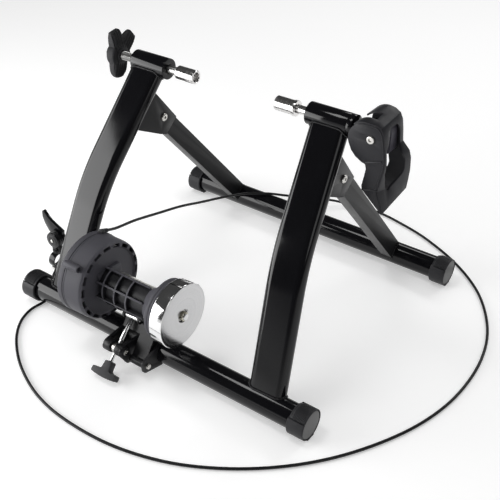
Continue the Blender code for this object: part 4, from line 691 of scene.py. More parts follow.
def carved(obj, *cutters):
    return combined(obj, cutters, "DIFFERENCE")


def gathered(*objs):
    """Closed shells kept side by side in one piece."""
    work = bmesh.new()
    for obj in objs:
        obj.data.transform(obj.matrix_world)
        work.from_mesh(obj.data)
        bpy.data.objects.remove(obj, do_unlink=True)
    mesh = bpy.data.meshes.new("piece")
    work.to_mesh(mesh)
    work.free()
    return linked("piece", mesh)


def arc(centre, radius, start, end, steps):
    turn = [math.radians(start + (end - start) * k / steps) for k in range(steps + 1)]
    return [(centre[0] + radius * math.cos(a), centre[1] + radius * math.sin(a)) for a in turn]


def circle(centre, radius, steps=SMALL):
    return arc(centre, radius, 0, 360, steps)[:-1]


def sector(outer, inner, start, end, steps):
    return arc((0, 0), outer, start, end, steps) + arc((0, 0), inner, end, start, steps)


def fillet(before, corner, after, reach, steps):
    """An arc in place of a corner, touching both sides at a distance from it."""
    back = (before - corner).normalized()
    on = (after - corner).normalized()
    centre = corner + (back + on).normalized() * reach / math.cos(back.angle(on) / 2)
    start = corner + back * reach - centre
    end = corner + on * reach - centre
    turn = start.angle(end)
    shares = [k / steps for k in range(steps + 1)]
    return [
        centre + (start * math.sin((1 - t) * turn) + end * math.sin(t * turn)) / math.sin(turn)
        for t in shares
    ]


def rounded(corners, reach, steps=6):
    """A closed outline with its corners rounded as far as its sides allow."""
    corners = [Vector(corner) for corner in corners]
    outline = []
    for k, corner in enumerate(corners):
        before, after = corners[k - 1], corners[(k + 1) % len(corners)]
        room = min(reach, (corner - before).length * 0.48, (after - corner).length * 0.48)
        if (corner - before).angle(after - corner) < math.radians(8):
            outline.append(corner)
        else:
            outline += fillet(before, corner, after, room, steps)
    return outline


def eased(profile, reach, steps=3):
    """A turned profile with its corners rounded. Its ends on the axis stay."""
    points = [Vector(point) for point in profile]
    ring = points[0].x > 0
    outline = []
    for k, corner in enumerate(points):
        before, after = points[k - 1], points[(k + 1) % len(points)]
        end = not ring and k in (0, len(points) - 1)
        room = min(reach, (corner - before).length * 0.45, (after - corner).length * 0.45)
        if end or room < 0.00001 or (corner - before).angle(after - corner) < math.radians(14):
            outline.append(corner)
        else:
            outline += fillet(before, corner, after, room, steps)
    return outline


def turned(profile, base, direction, steps=ROUND):
    """A solid of revolution from (radius, distance) points. One that starts off the axis is a closed ring."""
    work = bmesh.new()
    rings = []
    for radius, distance in profile:
        if radius < 0.000001:
            rings.append([work.verts.new((0, 0, distance))])
        else:
            rings.append([work.verts.new((x, y, distance)) for x, y in circle((0, 0), radius, steps)])
    pairs = list(zip(rings, rings[1:]))
    if profile[0][0] > 0:
        pairs.append((rings[-1], rings[0]))
    for one, two in pairs:
        for k in range(steps):
            n = (k + 1) % steps
            quad = (one[k % len(one)], two[k % len(two)], two[n % len(two)], one[n % len(one)])
            corners = list(dict.fromkeys(quad))
            if len(corners) > 2:
                work.faces.new(corners)
    obj = from_work(work)
    turn = Vector((0, 0, 1)).rotation_difference(Vector(direction)).to_matrix().to_4x4()
    obj.data.transform(Matrix.Translation(base) @ turn)
    return obj


def around_x(profile, centre, steps=ROUND, ease=0.0004):
    """A turned piece about an X axis through a (Y, Z) point, its profile's distances being X positions."""
    return turned(eased(profile, ease), (0, centre[0], centre[1]), (1, 0, 0), steps)


def ring(outer, inner, low, high, centre, steps=ROUND, ease=0.0004):
    profile = ((outer, high), (outer, low), (inner, low), (inner, high))
    return around_x(profile, centre, steps, ease)


def rod(radius, low, high, centre, steps=ROUND, ease=0.0004):
    profile = ((0, high), (radius, high), (radius, low), (0, low))
    return around_x(profile, centre, steps, ease)


def pin_along(radius, start, end, steps=SMALL, ease=0.0003):
    along = Vector(end) - Vector(start)
    profile = ((0, along.length), (radius, along.length), (radius, 0), (0, 0))
    return turned(eased(profile, ease), start, along, steps)


def swept(sections):
    """A closed solid through like sections, each a list of points."""
    work = bmesh.new()
    rings = [[work.verts.new(spot) for spot in section] for section in sections]
    count = len(rings[0])
    for one, two in zip(rings, rings[1:]):
        for k in range(count):
            n = (k + 1) % count
            work.faces.new((one[k], one[n], two[n], two[k]))
    work.faces.new(rings[0])
    work.faces.new(rings[-1])
    return from_work(work)


def slab(outlines, facing, low, high, centre=(0, 0), edge=0.0, segments=2):
    """Flat outlines with holes, extruded along the axis that they face between two positions on it."""
    curve = bpy.data.curves.new("outline", "CURVE")
    curve.dimensions = "2D"
    curve.fill_mode = "BOTH"
    curve.extrude = (high - low) / 2
    for outline in outlines:
        spline = curve.splines.new("POLY")
        spline.points.add(len(outline) - 1)
        spline.use_cyclic_u = True
        for point, spot in zip(spline.points, outline):
            point.co = (spot[0], spot[1], 0, 1)
    obj = linked("piece", curve)
    obj.rotation_euler = FACING[facing]
    place = list(centre)
    place.insert("XYZ".index(facing), (low + high) / 2)
    obj.location = place
    solid = baked(obj)
    return softened(solid, edge, segments) if edge else solid


def block(low, high, edge=0.0):
    work = bmesh.new()
    size = Vector(high) - Vector(low)
    bmesh.ops.create_cube(work, size=1.0, matrix=Matrix.Diagonal((*size, 1)))
    bmesh.ops.translate(work, verts=work.verts, vec=(Vector(low) + Vector(high)) / 2)
    obj = from_work(work)
    return softened(obj, edge, 3) if edge else obj


def hexagon(radius):
    return circle((0, 0), radius, 6)


def nut(radius, bore, low, high, centre):
    """A six-sided nut with turned-down corners on both faces."""
    solid = slab((hexagon(radius), circle((0, 0), bore)), "X", low, high, centre)
    corner = radius * 0.13
    profile = (
        (0, high + 0.001), (radius * 0.80, high + 0.001), (radius * 0.88, high),
        (radius * 1.04, high - corner), (radius * 1.04, low + corner), (radius * 0.88, low),
        (radius * 0.80, low - 0.001), (0, low - 0.001),
    )
    dome = turned(profile, (0, centre[0], centre[1]), (1, 0, 0), SMALL)
    return softened(combined(solid, (dome,), "INTERSECT"), 0.0002, 2, 30)


def side_name(side):
    return "right" if side > 0 else "left"


def ordered(side, near, far):
    return tuple(sorted((side * near, side * far)))


def finished(obj, name, material, body, nodes=(), smooth=32):
    """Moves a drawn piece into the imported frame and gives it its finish, its body and what it stands for."""
    obj.name = name
    mesh = obj.data
    mesh.name = name
    mesh.transform(obj.matrix_world)
    mesh.transform(Matrix.Translation(ORIGIN))
    obj.matrix_world = Matrix.Identity(4)
    mesh.materials.clear()
    mesh.materials.append(material_named(material))
    mesh.shade_smooth()
    mesh.set_sharp_from_angle(angle=math.radians(smooth))
    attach(obj, body)
    if nodes:
        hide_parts(*nodes)
    return obj


def second_finish(obj, material, chosen):
    """Gives another finish to the faces that a test picks, by their middles as drawn."""
    obj.data.materials.append(material_named(material))
    for face in obj.data.polygons:
        if chosen(face.center - ORIGIN, face.normal):
            face.material_index = 1


def copied(node):
    """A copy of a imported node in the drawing's frame, its triangles welded and its flat faces made whole."""
    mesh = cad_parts[node].data.copy()
    mesh.transform(Matrix.Translation(-ORIGIN))
    work = bmesh.new()
    work.from_mesh(mesh)
    bmesh.ops.remove_doubles(work, verts=work.verts, dist=0.00002)
    bmesh.ops.dissolve_limit(
        work, angle_limit=math.radians(1.0), use_dissolve_boundaries=False, verts=work.verts, edges=work.edges
    )
    bmesh.ops.recalc_face_normals(work, faces=work.faces)
    work.to_mesh(mesh)
    work.free()
    return linked(node + "_copy", mesh)


def refined(node, name, material, body, edge, smooth=40, extras=()):
    """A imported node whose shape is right, with its edges rounded and small shapes added."""
    obj = softened(copied(node), edge, 2, 28)
    if extras:
        obj = gathered(obj, *extras)
    return finished(obj, name, material, body, (node,), smooth)


def set_inputs(modifier, values):
    """Sets a node modifier's inputs by their sockets' identifiers."""
    for item in modifier.node_group.interface.items_tree:
        if item.item_type == "SOCKET" and item.in_out == "INPUT" and item.name in values:
            modifier[item.identifier] = values[item.name]


def grown(tree, values, data=None):
    """A mesh that a geometry tree makes from its named inputs, as a plain object."""
    obj = linked("piece", data or bpy.data.meshes.new("piece"))
    maker = obj.modifiers.new("maker", "NODES")
    maker.node_group = tree
    set_inputs(maker, values)
    return baked(obj)


def geometry_tree(name, inputs):
    """A geometry tree with the given inputs and a material."""
    inputs = (*inputs, ("Material", "NodeSocketMaterial", None))
    return new_tree(name, "GeometryNodeTree", inputs, (("Geometry", GEOMETRY),))


def end_tree(tree, entry, leave, placing):
    """Ends a tree with a shape on each point, as real geometry with its material."""
    shapes = add_node(tree, "GeometryNodeInstanceOnPoints", placing)
    real = add_node(tree, "GeometryNodeRealizeInstances", {"Geometry": shapes.outputs["Instances"]})
    inputs = {"Geometry": real.outputs["Geometry"], "Material": entry.outputs["Material"]}
    painted = add_node(tree, "GeometryNodeSetMaterial", inputs)
    tree.links.new(painted.outputs["Geometry"], leave.inputs["Geometry"])


def weld_tree():
    """A weld bead: flattened ripples that lie against each other along a path."""
    tree, entry, leave = geometry_tree(
        "weld_bead", (("Path", GEOMETRY, None), ("Radius", FLOAT, 0.002), ("Spacing", FLOAT, 0.0016))
    )
    if entry:
        inputs = {"Curve": entry.outputs["Path"], "Length": entry.outputs["Spacing"]}
        spots = add_node(tree, "GeometryNodeCurveToPoints", inputs, mode="LENGTH")
        inputs = {"Segments": 12, "Rings": 7, "Radius": entry.outputs["Radius"]}
        ripple = add_node(tree, "GeometryNodeMeshUVSphere", inputs)
        inputs = {0: (0.90, 0.90, 0.62), 1: (1.10, 1.10, 0.78), "Seed": 7}
        vary = add_node(tree, "FunctionNodeRandomValue", inputs, data_type="FLOAT_VECTOR")
        placing = {"Points": spots.outputs["Points"], "Instance": ripple.outputs["Mesh"]}
        placing.update({"Rotation": spots.outputs["Rotation"], "Scale": vary.outputs[0]})
        end_tree(tree, entry, leave, placing)
    return tree


def studs_tree():
    """Equal blocks round a circle, each turned to face out from it."""
    tree, entry, leave = geometry_tree(
        "studs_round_axis",
        (("Count", "NodeSocketInt", 22), ("Radius", FLOAT, 0.05), ("Size", VECTOR, (0.003, 0.01, 0.01))),
    )
    if entry:
        inputs = {"Vertices": entry.outputs["Count"], "Radius": entry.outputs["Radius"]}
        spots = add_node(tree, "GeometryNodeMeshCircle", inputs)
        place = add_node(tree, "GeometryNodeInputPosition").outputs["Position"]
        facing = add_node(
            tree, "FunctionNodeAlignRotationToVector", {"Vector": place}, axis="X", pivot_axis="Z"
        )
        stud = add_node(tree, "GeometryNodeMeshCube", {"Size": entry.outputs["Size"]})
        placing = {"Points": spots.outputs["Mesh"], "Instance": stud.outputs["Mesh"]}
        placing["Rotation"] = facing.outputs["Rotation"]
        end_tree(tree, entry, leave, placing)
    return tree


def rings_tree():
    """Fine half-round rings, one beside the other along an axis, each going round a part of it."""
    tree, entry, leave = geometry_tree(
        "stacked_rings",
        (
            ("Count", "NodeSocketInt", 9), ("Radius", FLOAT, 0.023), ("Thickness", FLOAT, 0.0004),
            ("Spacing", FLOAT, 0.002), ("Start", FLOAT, 0.1), ("Sweep", FLOAT, 3.0),
        ),
    )
    if entry:
        inputs = {"Resolution": 60, "Radius": entry.outputs["Radius"]}
        inputs.update({"Start Angle": entry.outputs["Start"], "Sweep Angle": entry.outputs["Sweep"]})
        bend = add_node(tree, "GeometryNodeCurveArc", inputs).outputs["Curve"]
        inputs = {"Resolution": 8, "Radius": entry.outputs["Thickness"]}
        section = add_node(tree, "GeometryNodeCurvePrimitiveCircle", inputs).outputs["Curve"]
        inputs = {"Curve": bend, "Profile Curve": section, "Fill Caps": True}
        one = add_node(tree, "GeometryNodeCurveToMesh", inputs)
        step = add_node(tree, "ShaderNodeCombineXYZ", {"Z": entry.outputs["Spacing"]}).outputs["Vector"]
        line = add_node(tree, "GeometryNodeMeshLine", {"Count": entry.outputs["Count"], "Offset": step})
        end_tree(tree, entry, leave, {"Points": line.outputs["Mesh"], "Instance": one.outputs["Mesh"]})
    return tree


def path_curve(points):
    curve = bpy.data.curves.new("path", "CURVE")
    curve.dimensions = "3D"
    spline = curve.splines.new("POLY")
    spline.points.add(len(points) - 1)
    spline.use_cyclic_u = True
    for point, spot in zip(spline.points, points):
        point.co = (*spot, 1)
    return curve


def weld(points, radius=None):
    """A bead round a closed line."""
    radius = radius or sizes().weld
    values = {"Radius": radius, "Spacing": radius * 0.75, "Material": material_named("black_paint")}
    return grown(weld_tree(), values, path_curve(points))


def oval(width, thickness, steps=72):
    """A flat-sided tube's section with round ends, as (thickness, width) offsets."""
    flat = (width - thickness) / 2
    points = []
    for k in range(steps):
        turn = math.tau * k / steps
        end = math.copysign(flat, math.sin(turn)) if abs(math.sin(turn)) > 0.000001 else 0.0
        x, y = thickness / 2 * math.cos(turn), thickness / 2 * math.sin(turn)
        points.append((x, y + end))
    points.insert(steps // 2 + 1, (-thickness / 2, -flat))
    points.insert(steps // 2, (-thickness / 2, flat))
    points.insert(1, (thickness / 2, flat))
    points.append((thickness / 2, -flat))
    return points


def upright_points(side):
    """An upright's foot, knee and top on its middle line."""
    return (
        Vector((side * UPRIGHT_FOOT_X, 0, CROSSBAR_Z)),
        Vector((side * KNEE.x, KNEE.y, KNEE.z)),
        Vector((side * UPRIGHT_TOP_X, AXLE.x, AXLE.y)),
    )


def upright_across(side):
    foot, knee, top = upright_points(side)
    return (knee - foot).cross(top - knee).normalized()


def upright_sweep(side):
    """The oval run along an upright's bent middle line, its thickness in the plane of the bend."""
    foot, knee, top = upright_points(side)
    across = upright_across(side)
    path = [foot, *fillet(foot, knee, top, BEND_REACH, 20), top]
    sections = []
    for k, spot in enumerate(path):
        before = path[max(k - 1, 0)]
        after = path[min(k + 1, len(path) - 1)]
        inward = across.cross((after - before).normalized())
        sections.append([spot + inward * x + across * y for x, y in oval(UPRIGHT_WIDTH, UPRIGHT_THICKNESS)])
    return swept(sections)


def meeting_line(side, at_top, radius):
    """Where an upright's skin meets the round tube at its foot or at its top, as a closed line."""
    foot, knee, top = upright_points(side)
    across = upright_across(side)
    if at_top:
        base, along, axis, inward = top, (knee - top).normalized(), AXLE, (top - knee).normalized()
    else:
        base, along, axis, inward = foot, (knee - foot).normalized(), MAIN_AXIS, (knee - foot).normalized()
    inward = across.cross(inward)
    line = []
    for x, y in oval(UPRIGHT_WIDTH, UPRIGHT_THICKNESS):
        start = base + inward * x + across * y
        flat = Vector((start.y - axis.x, start.z - axis.y))
        slope = Vector((along.y, along.z))
        a = slope.length_squared
        b = 2 * flat.dot(slope)
        c = flat.length_squared - radius**2
        reach = (-b + math.sqrt(max(b * b - 4 * a * c, 0))) / (2 * a)
        line.append(start + along * reach)
    return line


def on_upright(rise, reach):
    """A (Y, Z) point beside the uprights' upper run, by distance from the knee and from the middle line."""
    knee = Vector((KNEE.y, KNEE.z))
    along = (AXLE - knee).normalized()
    return knee + along * rise + Vector((along.y, -along.x)) * reach


HINGE = on_upright(HINGE_RISE, HINGE_REACH)


def build_crossbar(name, axis, body):
    half = CROSSBAR_LENGTH / 2 - FOOT_END_WALL - GAP
    tube = ring(CROSSBAR_R, CROSSBAR_R - CROSSBAR_WALL, -half, half, axis, FINE)
    finished(tube, name + "_tube", "black_paint", body, (name,))


def foot_skin(side, axis, upper):
    """Half of a cap's ringed skin, above or below its slit. The lower half is longer and stands proud."""
    start, radius = (FOOT_UPPER_START, FOOT_R - FOOT_UPPER_DROP) if upper else (0.0, FOOT_R)
    seat_r, back, inner_r = FOOT_DISC_R + GAP, FOOT_DEPTH - 0.0020, CROSSBAR_R + 0.0012
    profile = (
        (inner_r, back), (inner_r, start), (radius - 0.0012, start), (radius, start + 0.0008),
        (radius, FOOT_DEPTH - 0.0008), (radius - 0.0006, FOOT_DEPTH), (seat_r, FOOT_DEPTH), (seat_r, back),
    )
    low_x, high_x = ordered(side, FOOT_INNER_X, CROSSBAR_LENGTH / 2)
    skin = turned(eased(profile, 0.0004), (side * FOOT_INNER_X, *axis), (side, 0, 0), FINE)
    slit_z = axis.y + FOOT_R * math.sin(math.radians(FOOT_SLIT_ANGLE))
    reach = FOOT_R + 0.01
    low_z, high_z = axis.y - reach, slit_z + FOOT_SLIT_HALF
    if not upper:
        low_z, high_z = slit_z - FOOT_SLIT_HALF, axis.y + reach
    low = (low_x - 0.01, axis.x - reach, low_z)
    return carved(skin, block(low, (high_x + 0.01, axis.x + reach, high_z)))


def foot_rings(side, axis):
    start, sweep = FOOT_RING_ARC
    values = {
        "Count": sizes().cap_rings,
        "Radius": FOOT_R - FOOT_RING_R,
        "Thickness": FOOT_RING_R,
        "Spacing": FOOT_RING_SPACING,
        "Start": math.radians(start),
        "Sweep": math.radians(sweep),
        "Material": material_named("cap_plastic"),
    }
    rings = grown(rings_tree(), values)
    onto_x = Matrix(((0, 0, side), (side, 0, 0), (0, 1, 0))).to_4x4()
    rings.data.transform(Matrix.Translation((side * (FOOT_INNER_X + 0.0072), *axis)) @ onto_x)
    return rings


def build_foot(node, side, axis, body):
    """A cap with a closed cup inside, two half skins, rings on the upper one, a flat pad and an end disc."""
    base, along = (side * FOOT_INNER_X, *axis), (side, 0, 0)
    bore, skin_r, face = CROSSBAR_R + GAP, FOOT_R - 0.0020, FOOT_DEPTH - 0.0016
    floor, mouth = FOOT_DEPTH - FOOT_END_WALL, 0.0012
    profile = ((0, face), (skin_r, face), (skin_r, mouth), (bore, mouth), (bore, floor), (0, floor))
    cap = turned(eased(profile, 0.0004), base, along, FINE)
    skins = [foot_skin(side, axis, upper) for upper in (True, False)]
    low_x, high_x = ordered(side, FOOT_INNER_X, CROSSBAR_LENGTH / 2)
    ground = axis.y - CROSSBAR_Z
    pad_low = (low_x, axis.x - FOOT_PAD_HALF, ground)
    pad = block(pad_low, (high_x, axis.x + FOOT_PAD_HALF, ground + FOOT_PAD_RISE), 0.0008)
    cap = gathered(joined(cap, *skins, pad), foot_rings(side, axis))
    finished(cap, node + "_cap", "cap_plastic", body, (node,))
    rim_r, back = FOOT_DISC_R - 0.0006, FOOT_DEPTH - 0.0015
    profile = (
        (0, FOOT_DEPTH - 0.0004), (FOOT_DISC_R - 0.0014, FOOT_DEPTH - 0.0004), (rim_r, FOOT_DEPTH - 0.0010),
        (rim_r, back), (0, back),
    )
    disc = turned(eased(profile, 0.0002), base, along, FINE)
    finished(disc, node + "_disc", "end_disc", body)


def build_upright(side):
    node = side_name(side) + "_upright"
    tube = upright_sweep(side)
    low_x, high_x = ordered(side, 0.10, 0.27)
    foot_cope = rod(CROSSBAR_R + GAP, low_x, high_x, MAIN_AXIS, FINE)
    top_cope = rod(BARREL_R + GAP, low_x, high_x, AXLE, FINE)
    tube = carved(tube, foot_cope, top_cope)
    finished(tube, node + "_tube", "black_paint", "frame", (node,))
    foot_line = meeting_line(side, False, CROSSBAR_R + WELD_LIFT)
    top_line = meeting_line(side, True, BARREL_R + WELD_LIFT)
    beads = gathered(weld(foot_line), weld(top_line, TOP_WELD_R))
    finished(beads, node + "_welds", "black_paint", "frame", smooth=60)


def build_barrel(side):
    """A barrel whose inner end closes round the rod in a thin lip."""
    node = side_name(side) + "_clamp_barrel"
    inner_r = BARREL_R - BARREL_WALL
    lip_r = NOSE_R + 0.0011
    base = (0, AXLE.x, AXLE.y)
    profile = (
        (BARREL_R, BARREL_OUTER_X), (BARREL_R, BARREL_INNER_X), (lip_r, BARREL_INNER_X),
        (lip_r, BARREL_INNER_X + 0.0008), (inner_r, BARREL_INNER_X + 0.0008), (inner_r, BARREL_OUTER_X),
    )
    barrel = turned(eased(profile, 0.0007), base, (side, 0, 0), FINE)
    finished(barrel, node + "_tube", "black_paint", "frame", (node,))


def arm_weld_line(side, along, square):
    """Where an arm's square end meets the rear crossbar, as a closed line on the tube."""
    half = ARM_HEIGHT / 2
    radius = CROSSBAR_R + WELD_LIFT
    inset = math.sqrt(radius**2 - half**2)
    corners = []
    for share_x, share_s in ((-1, -1), (1, -1), (1, 1), (-1, 1)):
        spot = REAR_AXIS - along * inset + square * half * share_s
        corners.append(Vector((side * ARM_X + share_x * ARM_WIDTH / 2, spot.x, spot.y)))
    line = []
    for k, corner in enumerate(corners):
        after = corners[(k + 1) % 4]
        for step in range(12):
            spot = corner.lerp(after, step / 12)
            out = Vector((spot.y, spot.z)) - REAR_AXIS
            out = REAR_AXIS + out.normalized() * radius
            line.append(Vector((spot.x, out.x, out.y)))
    return line


def build_rear_arm(side):
    node = side_name(side) + "_rear_arm"
    along = (REAR_AXIS - HINGE).normalized()
    square = Vector((along.y, -along.x))
    length = (REAR_AXIS - HINGE).length
    half = ARM_HEIGHT / 2
    turn = math.degrees(math.atan2(along.y, along.x))
    outline = arc(HINGE, half, turn + 90, turn + 270, 40)
    outline += [HINGE + along * length + square * half, HINGE + along * length - square * half]
    hole = circle(HINGE, BOLT_R + GAP)
    span = ordered(side, ARM_X - ARM_WIDTH / 2, ARM_X + ARM_WIDTH / 2)
    arm = slab((outline, hole), "X", *span, edge=0.0016, segments=3)
    cope = rod(CROSSBAR_R + GAP, *ordered(side, ARM_X - 0.02, ARM_X + 0.02), REAR_AXIS, FINE)
    finished(carved(arm, cope), node + "_tube", "satin_black", "rear_frame", (node,))
    bead = weld(arm_weld_line(side, along, square), ARM_WELD_R)
    finished(bead, node + "_weld", "black_paint", "rear_frame", smooth=60)


def build_hinge(side):
    name = side_name(side)
    refined(f"{name}_hinge_bracket", f"{name}_hinge_plates", "satin_black", "frame", sizes().edge)
    reach = ARM_WIDTH / 2 + GAP + BRACKET_PLATE
    head_x = side * ARM_X + reach + GAP
    nut_x = side * ARM_X - reach - GAP
    end_x = nut_x - NUT_HEIGHT - 0.001
    profile = (
        (0, head_x + BOLT_HEAD), (BOLT_HEAD_R - 0.0022, head_x + BOLT_HEAD),
        (BOLT_HEAD_R - 0.0006, head_x + BOLT_HEAD - 0.0007), (BOLT_HEAD_R, head_x + 0.0005),
        (BOLT_HEAD_R, head_x), (BOLT_R, head_x), (BOLT_R, end_x), (0, end_x),
    )
    bolt = around_x(profile, HINGE, SMALL, 0.0004)
    socket = slab((hexagon(0.0027),), "X", head_x + 0.0006, head_x + 0.004, HINGE)
    bolt = carved(bolt, socket)
    finished(bolt, f"{name}_hinge_screw", "bright_steel", "frame", (f"{name}_hinge_bolt",))
    hex_nut = nut(BOLT_HEAD_R + 0.0008, BOLT_R + GAP, nut_x - NUT_HEIGHT, nut_x, HINGE)
    finished(hex_nut, f"{name}_hinge_hexagon", "bright_steel", "frame", (f"{name}_hinge_nut",))


def threaded_rod(radius, pitch, depth, low, high, centre, steps=48, per_turn=8):
    """A rod whose radius follows a real helical thread. Its ends are closed."""
    count = round((high - low) / pitch * per_turn)
    sections = []
    for k in range(count + 1):
        x = low + (high - low) * k / count
        fade = min(1.0, (x - low) / (2 * pitch), (high - x) / (2 * pitch))
        section = []
        for n in range(steps):
            phase = (x / pitch + n / steps) % 1
            r = radius - depth * fade * abs(2 * phase - 1)
            turn = math.tau * n / steps
            section.append((x, centre[0] + r * math.cos(turn), centre[1] + r * math.sin(turn)))
        sections.append(section)
    return swept(sections)


def knob_radius(turn):
    """The wing knob's edge at an angle, with the direction of the straight-sided wing there."""
    radius, lobe = KNOB_HUB_R, None
    for direction, reach, half_width, squareness in KNOB_LOBES:
        off = math.radians((turn - direction + 180) % 360 - 180)
        if abs(off) > 1.4:
            continue
        near_end = math.cos(off) / reach
        near_side = abs(math.sin(off)) / half_width
        wing_r = (near_end**squareness + near_side**squareness) ** (-1 / squareness)
        if wing_r > radius:
            radius, lobe = wing_r, direction
    return radius, lobe


def knob_shell():
    """The knob's two faces, which meet in a round edge, with grooves that run out along each wing."""
    around, out = 360, 40
    inner_x, outer_x = -KNOB_X + KNOB_SWELL, -KNOB_X - KNOB_DEPTH
    centre_x = (inner_x + outer_x) / 2
    depth = inner_x - outer_x
    work = bmesh.new()
    faces = {}
    for face in (-1, 1):
        for k in range(around):
            turn = 360 * k / around
            radius, lobe = knob_radius(turn)
            angle = math.radians(turn)
            for n in range(1, out + 1):
                share = 1 - (1 - n / out) ** 1.8
                r = radius * share
                if n == out and face == 1:
                    faces[face, k, n] = faces[-1, k, n]
                    continue
                dome = (1 - share**14) ** (1 / 3.6)
                thin = 1 - 0.42 * min(r / 0.040, 1) ** 1.2
                half = depth / 2 * dome * thin
                if lobe is not None:
                    side = r * math.sin(angle - math.radians(lobe))
                    ridge = 0.5 - 0.5 * math.cos(math.tau * side / sizes().groove)
                    reach = min(max((r - 0.012) / 0.005, 0), 1) * min((radius - r) / 0.0015, 1)
                    half -= GROOVE_DEPTH * (1 - ridge**0.7) * reach
                place = (centre_x + face * half, AXLE.x + r * math.cos(angle), AXLE.y + r * math.sin(angle))
                faces[face, k, n] = work.verts.new(place)
        middle = work.verts.new((centre_x + face * depth / 2, AXLE.x, AXLE.y))
        for k in range(around):
            m = (k + 1) % around
            work.faces.new((middle, faces[face, k, 1], faces[face, m, 1]))
            for n in range(1, out):
                quad = (faces[face, k, n], faces[face, k, n + 1], faces[face, m, n + 1], faces[face, m, n])
                work.faces.new(quad)
    return from_work(work)


def build_wing_knob():
    """The winged knob with the boss on its face and the collar behind it."""
    shell = knob_shell()
    face_x, boss_end = -KNOB_X - KNOB_DEPTH, -KNOB_X - KNOB_DEPTH - KNOB_BOSS
    profile = (
        (0, -KNOB_X - 0.004), (KNOB_BOSS_R, -KNOB_X - 0.006), (KNOB_BOSS_R + 0.002, face_x + 0.001),
        (KNOB_BOSS_R, face_x - 0.0018), (KNOB_BOSS_R - 0.0012, boss_end + 0.0018),
        (KNOB_BOSS_R - 0.004, boss_end), (0, boss_end),
    )
    boss = around_x(profile, AXLE, ROUND, 0.001)
    inner_x = -KNOB_X + KNOB_SWELL
    span = (inner_x - 0.004, inner_x + 0.0015)
    collar = ring(0.0115, SCREW_R - 0.0005, *span, AXLE, ROUND, 0.0006)
    knob = gathered(shell, boss, collar)
    finished(
        knob, "wing_knob", "knob_rubber", "left_screw", ("left_wing_knob",), smooth=50
    )


def build_left_screw():
    cup_back = CUP_X + CUP_LENGTH
    nose = (
        (0, -cup_back + SPIGOT_LENGTH), (SPIGOT_R, -cup_back + SPIGOT_LENGTH), (SPIGOT_R, -NOSE_END_X),
        (NOSE_R, -NOSE_END_X), (NOSE_R, -BARREL_INNER_X - 0.012), (0, -BARREL_INNER_X - 0.012),
    )
    plain = around_x(nose, AXLE, ROUND, 0.0005)
    span = (-KNOB_X - 0.006, -BARREL_INNER_X - 0.010)
    thread = threaded_rod(SCREW_R, sizes().pitch, THREAD_DEPTH, *span, AXLE)
    screw = gathered(plain, thread)
    finished(screw, "clamp_screw", "zinc", "left_screw", ("left_screw",), smooth=25)


def build_left_cup():
    cup_back = CUP_X + CUP_LENGTH
    profile = (
        (0, -CUP_X - CUP_RECESS_DEPTH), (CUP_RECESS_R, -CUP_X - CUP_RECESS_DEPTH + 0.002),
        (CUP_RECESS_R, -CUP_X - 0.0012), (CUP_RECESS_R + 0.0010, -CUP_X), (CUP_R - 0.0010, -CUP_X),
        (CUP_R, -CUP_X - 0.0010), (CUP_R, -cup_back + 0.0008), (CUP_R - 0.0008, -cup_back),
        (SPIGOT_R + GAP, -cup_back), (SPIGOT_R + GAP, -cup_back + SPIGOT_LENGTH + GAP),
        (0, -cup_back + SPIGOT_LENGTH + GAP),
    )
    cup = around_x(profile, AXLE, FINE, 0.0003)
    finished(cup, "left_cup_shell", "clamp_chrome", "left_cup", ("left_axle_cup",))


def build_right_rod():
    cup_end = RIGHT_CUP_END
    profile = (
        (0, ROD_TIP_X), (PUSH_ROD_R * 0.55, ROD_TIP_X - 0.0003), (PUSH_ROD_R, ROD_TIP_X - 0.0011),
        (PUSH_ROD_R, ROD_STEP_X), (NOSE_R, ROD_STEP_X), (NOSE_R, COLLAR_X + COLLAR_WIDTH),
        (COLLAR_R, COLLAR_X + COLLAR_WIDTH), (COLLAR_R, COLLAR_X), (NOSE_R, COLLAR_X),
        (NOSE_R, cup_end + GAP), (SPIGOT_R, cup_end + GAP), (SPIGOT_R, cup_end - SPIGOT_LENGTH),
        (0, cup_end - SPIGOT_LENGTH),
    )
    bar = around_x(profile, AXLE, ROUND, 0.0003)
    finished(bar, "sliding_rod", "clamp_chrome", "right_rod", ("right_rod",))
    recess = RIGHT_CUP_X + CUP_RECESS_DEPTH * 0.8
    cup_profile = (
        (0, cup_end - SPIGOT_LENGTH - GAP), (SPIGOT_R + GAP, cup_end - SPIGOT_LENGTH - GAP),
        (SPIGOT_R + GAP, cup_end), (RIGHT_RIM_R, cup_end), (RIGHT_RIM_R, cup_end - RIGHT_RIM),
        (CUP_R, cup_end - RIGHT_RIM), (CUP_R, RIGHT_CUP_X + 0.0010), (CUP_R - 0.0010, RIGHT_CUP_X),
        (CUP_RECESS_R + 0.0008, RIGHT_CUP_X), (CUP_RECESS_R, RIGHT_CUP_X + 0.0010),
        (CUP_RECESS_R, recess - 0.002), (0, recess),
    )
    cup = around_x(cup_profile, AXLE, FINE, 0.0003)
    finished(cup, "right_cup_shell", "clamp_chrome", "right_rod", ("right_axle_cup",))


def painted_black(spot, _normal):
    """Picks the clevis's socket on the barrel and the roof over its cam."""
    out = math.hypot(spot.x - CAM_PIN_X, spot.z - AXLE.y)
    on_roof = out > CLEVIS_ROUND_R and spot.z > AXLE.y + CLEVIS_ROOF_RISE
    return spot.x < CLEVIS_SOCKET_X or on_roof


